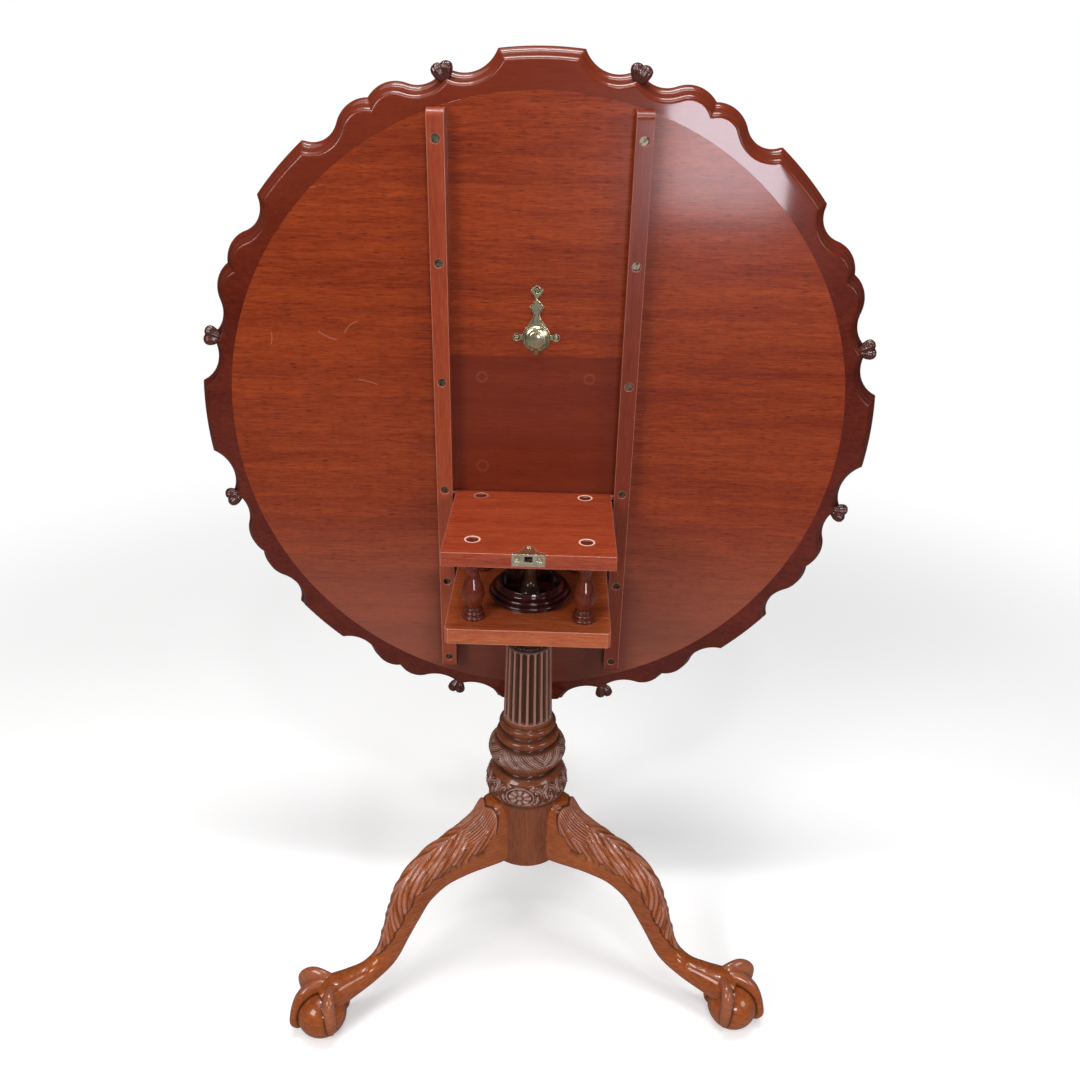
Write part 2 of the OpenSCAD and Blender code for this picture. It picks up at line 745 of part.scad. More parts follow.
strike_drop = 15;
strike_tab = 25;
strike_hole_w = 9.6;
strike_hole_h = 7.4;
strike_hole_z = cage_top - 6.2;
strike_screw_r = 1.1;
strike_screw_len = 9;

// Outline of the flange on the block's top, grown by g
module strike_top_outline(g) {
    half = strike_w / 2 + g;
    polygon([
        [-half, -g], [half, -g], [half, 4.5 + g], [half - 6, 6 + g], [half - 11, 11 + g],
        [4 + g, strike_tab - 2.5 + g], [0, strike_tab + g], [-4 - g, strike_tab - 2.5 + g],
        [11 - half, 11 + g], [6 - half, 6 + g], [-half, 4.5 + g]]);
}

// Frames whose +Z points out of the plate at each of its three screws
module strike_screw_places() {
    front = -block_d / 2;
    translate([0, front + strike_tab - 7.5, cage_top])
        children();
    for (x = [-strike_w / 2 + 6, strike_w / 2 - 6])
        translate([x, front, strike_hole_z])
            rotate([90, 0, 0])
                children();
}

module strike_plate() {
    front = -block_d / 2;
    color(brass)
        difference() {
            union() {
                translate([-strike_w / 2, front, cage_top - strike_drop])
                    cube([strike_w, brass_t, strike_drop]);
                translate([0, front, cage_top - brass_t])
                    linear_extrude(brass_t)
                        strike_top_outline(0);
            }
            translate([-strike_hole_w / 2, front - cut, strike_hole_z - strike_hole_h / 2])
                cube([strike_hole_w, brass_t + 2 * cut, strike_hole_h]);
            strike_screw_places()
                translate([0, 0, -brass_t - cut])
                    cylinder(r1 = strike_screw_r + slack, r2 = strike_screw_r + slack + brass_t + cut,
                        h = brass_t + cut, $fn = 24);
        }
}

module strike_screws() {
    color(brass)
        strike_screw_places()
            wood_screw(strike_screw_r + brass_t - slack, strike_screw_r, brass_t, strike_screw_len - 1);
}

// ---- catch -------------------------------------------------------------------------

catch_screw_r = 1.2;
catch_screw_len = 9;
catch_screw_places = [[0, catch_up], [-catch_ear_x, catch_ear_up], [catch_ear_x, catch_ear_up]];
shield_up = catch_ear_up;
shield_t = 8;
diamond_up = catch_up - 20;
spring_len = 15;
spring_r = 1.7;
guide_w = 5;
lug_t = 2.5;
nose_bite = 3;

// Outline shared by the base plate and the shield: pear, stem and diamond, grown by g
module pear_outline(g) {
    union() {
        translate([0, shield_up])
            circle(r = shield_r + g, $fn = 64);
        polygon([[-shield_r * 0.86 - g, shield_up + shield_r * 0.5], [shield_r * 0.86 + g, shield_up + shield_r * 0.5],
            [4.6 + g, shield_up + shield_r + 6], [2.6 + g, diamond_up - 8], [8.4 + g, diamond_up],
            [0, diamond_up + 9.5 + g], [-8.4 - g, diamond_up], [-2.6 - g, diamond_up - 8],
            [-4.6 - g, shield_up + shield_r + 6]]);
    }
}

// Base plate with a finial and two ears, each with its screw
module catch_plate() {
    color(brass)
        on_top()
            difference() {
                union() {
                    linear_extrude(brass_t)
                        union() {
                            pear_outline(0.8);
                            translate([0, catch_up])
                                circle(r = 5.2, $fn = 32);
                            polygon([[-8, catch_up], [0, catch_up - 12], [8, catch_up], [0, catch_up + 6.4]]);
                            for (side = [-1, 1])
                                translate([side * catch_ear_x, catch_ear_up])
                                    circle(r = 5, $fn = 32);
                            translate([-catch_ear_x, catch_ear_up - 3])
                                square([2 * catch_ear_x, 6]);
                        }
                    // lug that the spring pushes from
                    translate([-guide_w / 2, shield_up - 9 + spring_len, brass_t])
                        cube([guide_w, lug_t, 3.6]);
                }
                for (p = catch_screw_places)
                    translate([p.x, p.y, -cut])
                        cylinder(r1 = catch_screw_r + slack, r2 = catch_screw_r + slack + brass_t + cut,
                            h = brass_t + cut, $fn = 24);
            }
}

module catch_screws() {
    color(brass)
        on_top()
            for (p = catch_screw_places)
                translate([p.x, p.y, brass_t])
                    rotate([0, 0, 20 + p.x])
                        wood_screw(catch_screw_r + brass_t - slack, catch_screw_r, brass_t,
                            brass_t + catch_screw_len - 1);
}

// Sliding shield with its thumb-piece and the bolt's nose, hollow over the spring
module catch_bolt() {
    base = brass_t + seat_gap;
    nose_tip = block_d / 2 - nose_bite;
    nose_low = cage_top + panel_gap - strike_hole_z - nose_h / 2 - base;
    nose_high = nose_low + nose_h;
    nose_len = shield_up - nose_tip - 9;
    color(brass)
        on_top()
            difference() {
                union() {
                    translate([0, 0, base])
                        linear_extrude(2)
                            pear_outline(0);
                    translate([0, shield_up, base + 2])
                        intersection() {
                            translate([0, 0, shield_t - 3 - shield_r * 1.5])
                                sphere(r = shield_r * 1.5, $fn = 64);
                            cylinder(r = shield_r - 1.5, h = shield_t, $fn = 64);
                        }
                    translate([-nose_w / 2, nose_tip, base])
                        rotate([90, 0, 90])
                            linear_extrude(nose_w)
                                polygon([[0, nose_low], [nose_len, nose_low], [nose_len, nose_high],
                                    [3, nose_high], [0, nose_low + 1.5]]);
                }
                // room for the spring and its lug
                translate([-guide_w / 2 - side_gap, shield_up - 9, base - cut])
                    cube([guide_w + 2 * side_gap, spring_len + lug_t + panel_gap, cut + 3.8]);
            }
}

// Compression spring between the lug and the shield's lower wall
module catch_spring() {
    turns = 7;
    sides = 5;
    per_turn = 12;
    wire = 0.35;
    n = turns * per_turn;
    len = spring_len - 2 * slack;
    points = [for (i = [0:n]) for (j = [0:sides - 1])
        let (a = i * 360 / per_turn, b = j * 360 / sides, r = spring_r - wire + wire * cos(b))
        [r * cos(a), -len / 2 + wire + (len - 2 * wire) * i / n + wire * sin(b), r * sin(a)]];
    faces = [for (i = [0:n - 1]) for (j = [0:sides - 1])
        let (a = i * sides + j, b = i * sides + (j + 1) % sides)
        each [[a, b + sides, a + sides], [a, b, b + sides]]];
    color(steel)
        on_top()
            translate([0, shield_up - 9 + spring_len / 2, brass_t + seat_gap + spring_r])
                polyhedron(points, concat(faces, [[for (j = [sides - 1:-1:0]) j],
                    [for (j = [0:sides - 1]) n * sides + j]]));
}

// ---- assembly ----------------------------------------------------------------------

pillar();
leg(0);  // leg_left
leg(1);  // leg_right
leg(2);  // leg_back
collar();
collar_wedge();
upper_block();
lower_block();
baluster(-baluster_x, -baluster_y);  // baluster_front_left
baluster(baluster_x, -baluster_y);  // baluster_front_right
baluster(-baluster_x, baluster_y);  // baluster_back_left
baluster(baluster_x, baluster_y);  // baluster_back_right
strike_plate();
strike_screws();
top_board();
rim_segment(0);  // rim_segment_1
rim_segment(1);  // rim_segment_2
rim_segment(2);  // rim_segment_3
rim_segment(3);  // rim_segment_4
rim_segment(4);  // rim_segment_5
rim_segment(5);  // rim_segment_6
rim_segment(6);  // rim_segment_7
rim_segment(7);  // rim_segment_8
batten(-1);  // batten_left
batten(1);  // batten_right
batten_screws();
catch_plate();
catch_screws();
catch_spring();
catch_bolt();
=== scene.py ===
import bpy, math
import numpy as np
from mathutils.kdtree import KDTree
from mathutils import Vector, Matrix


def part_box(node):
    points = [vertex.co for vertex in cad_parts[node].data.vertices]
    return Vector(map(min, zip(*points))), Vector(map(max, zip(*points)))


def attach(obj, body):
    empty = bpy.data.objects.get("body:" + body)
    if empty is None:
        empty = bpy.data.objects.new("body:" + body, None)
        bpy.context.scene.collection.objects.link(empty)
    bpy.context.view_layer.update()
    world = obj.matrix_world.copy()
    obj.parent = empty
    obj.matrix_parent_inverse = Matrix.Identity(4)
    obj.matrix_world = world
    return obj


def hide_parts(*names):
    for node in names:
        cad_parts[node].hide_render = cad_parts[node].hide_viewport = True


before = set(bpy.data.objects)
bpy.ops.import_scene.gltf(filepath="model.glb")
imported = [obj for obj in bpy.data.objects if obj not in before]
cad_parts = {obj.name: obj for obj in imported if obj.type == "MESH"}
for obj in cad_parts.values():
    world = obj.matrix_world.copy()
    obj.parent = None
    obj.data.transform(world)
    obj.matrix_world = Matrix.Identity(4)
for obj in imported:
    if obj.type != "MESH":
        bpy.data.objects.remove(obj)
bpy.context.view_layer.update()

MM = 0.001
sc = bpy.context.scene


def mm_box(node):
    lo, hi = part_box(node)
    return [v / MM for v in lo], [v / MM for v in hi]


board_lo, board_hi = mm_box("top_board")
upper_lo, upper_hi = mm_box("upper_block")
lower_lo, lower_hi = mm_box("lower_block")
PANEL_Y = board_lo[1]
DISC_Z = (board_lo[2] + board_hi[2]) / 2
PANEL_R = (board_hi[2] - board_lo[2]) / 2
FOOT_Z = mm_box("pillar")[0][2]
CAGE_TOP = upper_hi[2]
UPPER_BOTTOM = upper_lo[2]
LOWER_TOP = lower_hi[2]
LOWER_BOTTOM = lower_lo[2]
BASE_TURN = 4.2     # degrees that the legs and the pillar stand turned about the axis
GAP = 0.2           # clearance between a turned part and the block it stands on

# ---------------------------------------------------------------- angles and curves


def cosd(a):
    return math.cos(math.radians(a))


def sind(a):
    return math.sin(math.radians(a))


def unit(a):
    """The unit vector at an angle in degrees."""
    return np.array([cosd(a), sind(a)])


def smooth(x, lo, hi):
    t = np.clip((x - lo) / (hi - lo), 0, 1)
    return t * t * (3 - 2 * t)


def wrap(a):
    return (np.asarray(a) + 180) % 360 - 180


def spline(p, t):
    """The curve through the two middle ones of four points, t from 0 to 1 between them."""
    return 0.5 * (2 * p[1] + (p[2] - p[0]) * t + (2 * p[0] - 5 * p[1] + 4 * p[2] - p[3]) * t ** 2
                  + (3 * p[1] - p[0] - 3 * p[2] + p[3]) * t ** 3)


# ---------------------------------------------------------------- materials

EDGE_HIGHLIGHT_WOOD = (0.78, 0.40, 0.30)      # a painted highlight along rounded edges, in the pale colour of bare wood
PORE_SHADE = 0.22                   # a pore's colour as a share of the dark wood
GRAIN, FINE_GRAIN, PORE_GRAIN = 26.0, 120.0, 230.0      # scales of the noise in the wood


class Net:
    """Short hand for building the node tree of a material or a world."""

    def __init__(self, owner):
        owner.use_nodes = True
        self.nt = owner.node_tree
        for n in list(self.nt.nodes):
            self.nt.nodes.remove(n)

    def add(self, kind, **props):
        n = self.nt.nodes.new(kind)
        for k, v in props.items():
            setattr(n, k, v)
        return n

    def link(self, a, b):
        self.nt.links.new(a, b)

    def feed(self, socket, value):
        """A number, a colour or another node's output into a socket."""
        if isinstance(value, (int, float)):
            socket.default_value = value
        elif isinstance(value, tuple):
            socket.default_value = (*value, 1.0)
        else:
            self.link(value, socket)

    def math(self, op, *values, clamp=False):
        n = self.add("ShaderNodeMath", operation=op, use_clamp=clamp)
        for socket, v in zip(n.inputs, values):
            self.feed(socket, v)
        return n.outputs[0]

    def times(self, *values):
        """The product of two or more values."""
        product = values[0]
        for v in values[1:]:
            product = self.math("MULTIPLY", product, v)
        return product

    def length(self, a, b):
        return self.math("SQRT", self.math("ADD", self.times(a, a), self.times(b, b)))

    def xyz(self, vec):
        n = self.add("ShaderNodeSeparateXYZ")
        self.link(vec, n.inputs[0])
        return n.outputs[0], n.outputs[1], n.outputs[2]

    def attribute(self, name):
        return self.add("ShaderNodeAttribute", attribute_name=name).outputs["Fac"]

    def object_coords(self):
        return self.add("ShaderNodeTexCoord").outputs["Object"]

    def step(self, v, lo, hi):
        """0 below lo and 1 above hi, or the other way round when lo is the larger."""
        n = self.add("ShaderNodeMapRange", interpolation_type="SMOOTHSTEP")
        self.link(v, n.inputs["Value"])
        n.inputs["From Min"].default_value = lo
        n.inputs["From Max"].default_value = hi
        return n.outputs["Result"]

    def mix(self, f, a, b):
        """Colour a where f is 0 and colour b where f is 1."""
        n = self.add("ShaderNodeMix", data_type="RGBA")
        for i, v in ((0, f), (6, a), (7, b)):
            self.feed(n.inputs[i], v)
        return n.outputs[2]

    def noise(self, vec, scale, detail, rough=0.5, distort=0.0):
        n = self.add("ShaderNodeTexNoise")
        self.link(vec, n.inputs["Vector"])
        n.inputs["Scale"].default_value = scale
        n.inputs["Detail"].default_value = detail
        n.inputs["Roughness"].default_value = rough
        n.inputs["Distortion"].default_value = distort
        return n.outputs["Fac"]

    def scaled(self, vec, s):
        n = self.add("ShaderNodeMapping")
        self.link(vec, n.inputs["Vector"])
        n.inputs["Scale"].default_value = s
        return n.outputs["Vector"]


def surface(name):
    """A new material with a Principled shader: the material, its net and the shader."""
    mat = bpy.data.materials.new(name)
    k = Net(mat)
    bs = k.add("ShaderNodeBsdfPrincipled")
    k.link(bs.outputs[0], k.add("ShaderNodeOutputMaterial").inputs[0])
    return mat, k, bs


def bevelled(k, radius, samples):
    n = k.add("ShaderNodeBevel", samples=samples)
    n.inputs["Radius"].default_value = radius
    return n.outputs[0]


def wood(name, dark, light, grain=(1, 1, 1), rough=0.32, coat=0.35, coat_rough=0.12, pores=0.35,
         figure=0.5, bevel=0.0, hollow_shade=(0.035, 0.012, 0.008), hollow_shade_amt=0.85, extra=None,
         spec=0.5, ridge_highlight=None, pore_f=2.6):
    """Polished wood: grain from dark to light, pores, painted shade in hollows, painted highlights
    on ridges and rounded edges.
    """
    mat, k, bs = surface(name)
    co = k.object_coords()
    g = k.scaled(co, grain)
    wob = k.noise(k.scaled(co, tuple(v * 0.3 for v in grain)), 9.0, 2.0)
    fig = k.noise(g, GRAIN, 5.0, 0.6, 0.6)
    fine = k.noise(g, FINE_GRAIN, 3.0, 0.65, 0.2)
    f = k.math("ADD", k.times(fig, 0.62), k.times(fine, 0.38))
    f = k.math("ADD", f, k.times(k.math("SUBTRACT", wob, 0.5), 0.35))
    f = k.step(f, 0.5 - 0.5 * figure + 0.02, 0.5 + 0.5 * figure)
    col = k.mix(f, dark, light)
    pore = k.noise(k.scaled(co, tuple(v * pore_f for v in grain)), PORE_GRAIN, 1.0, 0.5)
    pore = k.times(k.step(pore, 0.60, 0.70), pores)
    col = k.mix(pore, col, tuple(v * PORE_SHADE for v in dark))
    if extra:
        col = extra(k, co, col)
    # painted shade: the hollows marked on the mesh turn toward the dark hollow colour
    shade_and_grime = k.attribute("shade_and_grime")
    col = k.mix(k.math("MULTIPLY", shade_and_grime, hollow_shade_amt, clamp=True), col, hollow_shade)
    # a painted highlight: the ridges marked on the mesh turn pale
    if ridge_highlight:
        col = k.mix(k.math("MULTIPLY", k.attribute("ridge"), ridge_highlight[1], clamp=True), col, ridge_highlight[0])
    # a painted highlight along rounded edges, in the pale colour of bare wood
    if bevel:
        rounded = bevelled(k, bevel, 6)
        dot = k.add("ShaderNodeVectorMath", operation="DOT_PRODUCT")
        k.link(rounded, dot.inputs[0])
        k.link(k.add("ShaderNodeNewGeometry").outputs["True Normal"], dot.inputs[1])
        edge_highlight = k.step(dot.outputs["Value"], 0.995, 0.90)
        col = k.mix(k.times(edge_highlight, 0.45), col, EDGE_HIGHLIGHT_WOOD)
    k.link(col, bs.inputs["Base Color"])
    r = k.math("ADD", rough - 0.05, k.times(fig, 0.10))
    r = k.math("ADD", r, k.times(shade_and_grime, 0.3), clamp=True)
    k.link(r, bs.inputs["Roughness"])
    bs.inputs["Coat Weight"].default_value = coat
    bs.inputs["Coat Roughness"].default_value = coat_rough
    bs.inputs["Specular IOR Level"].default_value = spec
    b = k.add("ShaderNodeBump")
    b.inputs["Strength"].default_value = 0.2
    b.inputs["Distance"].default_value = 0.0003
    k.link(k.math("SUBTRACT", k.times(fine, 0.25), pore), b.inputs["Height"])
    if bevel:
        k.link(rounded, b.inputs["Normal"])
        k.link(rounded, bs.inputs["Coat Normal"])
    k.link(b.outputs[0], bs.inputs["Normal"])
    return mat


def metal(name, base, dirt, rough):
    """Cast metal with dirt in patches and darker hollows."""
    mat, k, bs = surface(name)
    n = k.noise(k.object_coords(), 160.0, 3.0, 0.6)
    col = k.mix(k.step(n, 0.45, 0.75), base, dirt)
    hollow = k.math("MULTIPLY", k.attribute("shade_and_grime"), 0.9, clamp=True)
    col = k.mix(hollow, col, tuple(v * 0.12 for v in dirt))
    k.link(col, bs.inputs["Base Color"])
    k.link(k.math("ADD", rough, k.times(n, 0.12)), bs.inputs["Roughness"])
    bs.inputs["Metallic"].default_value = 1.0
    k.link(bevelled(k, 0.0004, 4), bs.inputs["Normal"])
    return mat


FOOTPRINT_TOP = 2 * DISC_Z - CAGE_TOP + 9       # where the lowered block's mark ends, mm
FOOTPRINT_EDGE = 0.0012
# round marks (x, z, radius) and scratches (x0, z0, x1, z1, bow) on the underside, mm
ROUND_MARKS = ((-67, 858, 6), (67, 858, 6), (-67, 740, 7))
SCRATCHES = ((-236, 909, -218, 924, 3), (-269, 911, -245, 900, -1), (-223, 851, -198, 845, 1),
             (-275, 1073, -256, 1077, 1), (-327, 909, -329, 893, 1))
# colours of the marks on the underside, with a painted reflection of the floor and a painted shadow
# among them
MARK_WOOD = {"footprint": (0.105, 0.013, 0.005), "ring": (0.32, 0.13, 0.08),
             "scratch": (0.5, 0.2, 0.16), "painted floor reflection": (0.26, 0.105, 0.075),
             "painted shadow strip": (0.060, 0.0075, 0.0035)}
# how much each tenon's pale ring shows on the upper block
TENON_RINGS = (("front_left", 0.95), ("front_right", 0.95), ("back_right", 0.9), ("back_left", 0.2))
TENON_RING_R, TENON_WOOD = 0.0086, (0.80, 0.50, 0.42)


def scratch_line(k, x, z, scratch):
    """1 on a slightly bowed line between two points and 0 off it, fading at its ends."""
    x0, z0, x1, z1, bow = scratch
    dx, dz = x1 - x0, z1 - z0
    length = math.hypot(dx, dz)
    ux, uz = dx / length, dz / length
    px, pz = k.math("SUBTRACT", x, x0 * MM), k.math("SUBTRACT", z, z0 * MM)
    along = k.math("ADD", k.times(px, ux), k.times(pz, uz))
    across = k.math("SUBTRACT", k.times(pz, ux), k.times(px, uz))
    t = k.math("DIVIDE", along, length * MM)
    bend = k.times(t, k.math("SUBTRACT", 1.0, t), bow * 4 * MM)
    off = k.math("ABSOLUTE", k.math("SUBTRACT", across, bend))
    return k.times(k.step(off, 0.0011, 0.0003), k.step(t, -0.02, 0.05), k.step(t, 1.02, 0.9))


def board_marks(k, co, col):
    """On the underside only: the block's darker footprint, round marks, scratches, a painted
    reflection and a painted shadow.
    """
    x, y, z = k.xyz(co)
    face = col
    under = k.step(y, (PANEL_Y + 3) * MM, (PANEL_Y + 1) * MM)
    half_w = (upper_hi[0] - upper_lo[0]) / 2 * MM
    top, low = FOOTPRINT_TOP * MM, CAGE_TOP * MM
    side = k.math("ABSOLUTE", x)
    footprint = k.times(k.step(side, half_w + FOOTPRINT_EDGE, half_w - FOOTPRINT_EDGE),
                        k.step(z, top + FOOTPRINT_EDGE, top - FOOTPRINT_EDGE),
                        k.step(z, low - 0.004, low))
    col = k.mix(k.times(footprint, 0.7), col, MARK_WOOD["footprint"])
    for cx, cz, r in ROUND_MARKS:
        d = k.length(k.math("SUBTRACT", x, cx * MM), k.math("SUBTRACT", z, cz * MM))
        ring = k.step(k.math("ABSOLUTE", k.math("SUBTRACT", d, r * MM)), 0.0022, 0.0006)
        col = k.mix(k.times(ring, 0.12), col, MARK_WOOD["ring"])
    for scratch in SCRATCHES:
        col = k.mix(k.times(scratch_line(k, x, z, scratch), 0.28), col, MARK_WOOD["scratch"])
    # painted reflection: the lower part is greyer, as the pale floor lights it; painted shadow: the
    # strip between the battens at the lower block is darker, in the lower block's shade
    col = k.mix(k.times(k.step(z, 0.72, 0.44), 0.45), col, MARK_WOOD["painted floor reflection"])
    strip = k.times(k.step(z, (LOWER_BOTTOM + 14) * MM, (LOWER_BOTTOM - 22) * MM),
                    k.step(side, 0.17, 0.10))
    col = k.mix(k.times(strip, 0.62), col, MARK_WOOD["painted shadow strip"])
    return k.mix(under, face, col)


def block_rings(k, co, col):
    """Pale tenon rings on the block's top, painted shade in the catch's pocket, a painted shadow in
    a stripe at the back.
    """
    x, y, z = k.xyz(co)
    top = k.step(z, (CAGE_TOP - 0.6) * MM, (CAGE_TOP - 0.1) * MM)
    for name, amount in TENON_RINGS:
        lo, hi = mm_box("baluster_" + name)
        d = k.length(k.math("SUBTRACT", x, (lo[0] + hi[0]) / 2 * MM),
                     k.math("SUBTRACT", y, (lo[1] + hi[1]) / 2 * MM))
        ring = k.step(k.math("ABSOLUTE", k.math("SUBTRACT", d, TENON_RING_R)), 0.0015, 0.0008)
        col = k.mix(k.times(ring, top, amount), col, TENON_WOOD)
    # a painted shadow in a stripe at the back, where the block meets the board
    back_shadow = k.step(y, (upper_hi[1] - 9) * MM, (upper_hi[1] - 5) * MM)
    # painted shade, nearly black, in the catch's pocket
    pocket_shade = k.times(k.step(y, (upper_lo[1] + 8) * MM, (upper_lo[1] + 7) * MM),
                     k.step(k.math("ABSOLUTE", x), 0.0054, 0.0050),
                     k.step(z, (CAGE_TOP - 1.9) * MM, (CAGE_TOP - 2.3) * MM),
                     k.step(z, (CAGE_TOP - 10.6) * MM, (CAGE_TOP - 10.2) * MM))
    col = k.mix(pocket_shade, col, (0.002, 0.001, 0.001))
    return k.mix(k.times(back_shadow, 0.7), col, (0.07, 0.010, 0.007))


def rim_tone(k, co, col):
    """The rim is as bright as the board at its top and darker toward the sides and below: partly
    painted light from above, partly the rim's own tone.
    """
    grain = k.noise(k.scaled(co, (1.4, 22, 22)), GRAIN, 4.0, 0.6)
    top_light_tone = k.mix(grain, (0.120, 0.0135, 0.004), (0.225, 0.035, 0.009))
    return k.mix(k.times(k.step(k.xyz(co)[2], 0.92, 1.19), 0.62), col, top_light_tone)


M_BOARD = wood("mahogany board", (0.122, 0.0120, 0.0030), (0.285, 0.045, 0.0080),
               grain=(1.4, 22, 22), rough=0.36, coat=0.30, coat_rough=0.13, pores=0.62,
               figure=0.55, extra=board_marks, spec=0.14, pore_f=0.22)
# one wood for both battens: the left copy is lighter as painted light and the right copy darker as
# painted shade
M_BATTEN_LIT = wood("mahogany batten lit copy", (0.19, 0.025, 0.008), (0.33, 0.060, 0.019),
                  grain=(24, 24, 1.2), rough=0.3, coat=0.30, coat_rough=0.12, pores=0.3,
                  bevel=0.0016, spec=0.25)
M_BATTEN_SHADED = wood("mahogany batten shaded copy", (0.11, 0.013, 0.005), (0.20, 0.031, 0.010),
                  grain=(24, 24, 1.2), rough=0.32, coat=0.22, coat_rough=0.14, pores=0.3,
                  bevel=0.0016, spec=0.22)
M_RIM = wood("mahogany rim", (0.060, 0.0052, 0.0022), (0.120, 0.0150, 0.0055),
             grain=(4, 10, 10), rough=0.3, coat=0.60, coat_rough=0.06, pores=0.25,
             spec=0.12, extra=rim_tone)
M_LEAF = wood("mahogany buds", (0.040, 0.006, 0.004), (0.085, 0.016, 0.010),
              grain=(9, 9, 9), rough=0.25, coat=0.6, coat_rough=0.1, pores=0.1)
M_BLOCK = wood("mahogany block", (0.185, 0.020, 0.007), (0.365, 0.062, 0.021),
               grain=(1.6, 18, 18), rough=0.28, coat=0.4, coat_rough=0.08, pores=0.4,
               bevel=0.0014, extra=block_rings, spec=0.35)
M_LOWER = wood("mahogany lower block", (0.25, 0.038, 0.010), (0.44, 0.112, 0.036),
               grain=(1.6, 18, 18), rough=0.26, coat=0.5, coat_rough=0.1, pores=0.35,
               bevel=0.0022, spec=0.4)
M_TURNED = wood("mahogany turned", (0.060, 0.008, 0.004), (0.155, 0.026, 0.010),
                grain=(14, 14, 2), rough=0.24, coat=0.70, coat_rough=0.04, pores=0.2, spec=0.15)
M_COLLAR = wood("mahogany dark", (0.016, 0.003, 0.003), (0.040, 0.009, 0.007),
                grain=(5, 12, 12), rough=0.16, coat=0.5, coat_rough=0.04, pores=0.1, spec=0.25)
# the pale ridge colour is a painted highlight and the dark hollow colour painted shade
M_PILLAR = wood("mahogany pillar", (0.115, 0.026, 0.009), (0.225, 0.063, 0.022),
                grain=(16, 16, 2), rough=0.28, coat=0.55, coat_rough=0.07, pores=0.3,
                spec=0.16, ridge_highlight=((0.50, 0.37, 0.33), 0.45),
                hollow_shade=(0.012, 0.005, 0.003), hollow_shade_amt=0.92)
# the pale ridge colour is a painted highlight and the dark hollow colour painted shade
M_LEG = wood("mahogany leg", (0.19, 0.038, 0.007), (0.35, 0.090, 0.019),
             grain=(3.2, 3.2, 10), rough=0.27, coat=0.65, coat_rough=0.06, pores=0.3,
             spec=0.16, ridge_highlight=((0.60, 0.36, 0.30), 0.30),
             hollow_shade=(0.020, 0.007, 0.004), hollow_shade_amt=0.92)
M_BRASS = metal("brass", (0.90, 0.83, 0.62), (0.66, 0.56, 0.36), rough=0.22)
# brass darkened as painted shade, for the bolt's nose under the catch's shield
M_SHADED_BRASS = metal("brass in painted shade", (0.20, 0.15, 0.07), (0.10, 0.07, 0.03), rough=0.4)
M_STEEL = metal("steel", (0.22, 0.19, 0.13), (0.03, 0.02, 0.015), rough=0.32)
M_AGED = metal("aged brass", (0.62, 0.57, 0.36), (0.24, 0.21, 0.11), rough=0.20)

# ---------------------------------------------------------------- mesh making


def piece(name, verts, faces, body, nodes, mat, sharp, shade_and_grime=None, ridge=None):
    """A mesh from points in mm, riding on a body and standing for its CAD nodes. Edges over
    sharp degrees stay sharp; the two per-point values mark hollows for painted shade and
    ridges for a painted highlight."""
    me = bpy.data.meshes.new(name)
    me.from_pydata((np.asarray(verts, float) * MM).tolist(), [], [tuple(f) for f in faces])
    me.update()
    me.shade_smooth()
    if sharp:
        me.set_sharp_from_angle(angle=math.radians(sharp))
    for label, values in (("shade_and_grime", shade_and_grime), ("ridge", ridge)):
        if values is not None:
            a = me.attributes.new(label, "FLOAT", "POINT")
            a.data.foreach_set("value", np.asarray(values, np.float32))
    ob = bpy.data.objects.new(name, me)
    sc.collection.objects.link(ob)
    me.materials.append(mat)
    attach(ob, body)
    if nodes:
        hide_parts(*nodes)


def grid_faces(n, m, wrap_n=False, wrap_m=False):
    """Quads over an n by m grid of points, numbered row by row."""
    ii = np.arange(n if wrap_n else n - 1)
    jj = np.arange(m if wrap_m else m - 1)
    i, j = np.meshgrid(ii, jj, indexing="ij")
    i2, j2 = (i + 1) % n, (j + 1) % m
    return np.stack([i * m + j, i2 * m + j, i2 * m + j2, i * m + j2], -1).reshape(-1, 4)


def end_caps(n, m):
    """The two end faces of n rings of m points each."""
    return [list(range(m)), [(n - 1) * m + j for j in range(m - 1, -1, -1)]]


class Bodies:
    """Points and faces of several bodies, gathered for one mesh."""

    def __init__(self):
        self.points, self.faces, self.count = [], [], 0

    def add(self, verts, faces):
        self.faces.extend([int(i) + self.count for i in f] for f in faces)
        self.points.append(np.asarray(verts, float).reshape(-1, 3))
        self.count += len(self.points[-1])

    def all_points(self):
        return np.concatenate(self.points)


def arc(cx, cz, r, a0, a1, n, rz=None):
    """Points of a circle, or of an ellipse of height rz, between two angles."""
    rz = r if rz is None else rz
    return [(cx + r * cosd(a), cz + rz * sind(a)) for a in np.linspace(a0, a1, n)]


def lathe(profile, steps):
    """Points [steps, n, 3] turned about the Z axis."""
    p = np.array(profile)
    t = np.linspace(0, 2 * np.pi, steps, endpoint=False)
    return np.stack([p[None, :, 0] * np.cos(t)[:, None], p[None, :, 0] * np.sin(t)[:, None],
                     np.broadcast_to(p[None, :, 1], (steps, len(p)))], -1)


def on_top(p):
    """From the upright top's own frame (Z out of its underside) to the shared frame."""
    p = np.asarray(p, float)
    return np.stack([p[..., 0], PANEL_Y - p[..., 2], DISC_Z + p[..., 1]], -1)


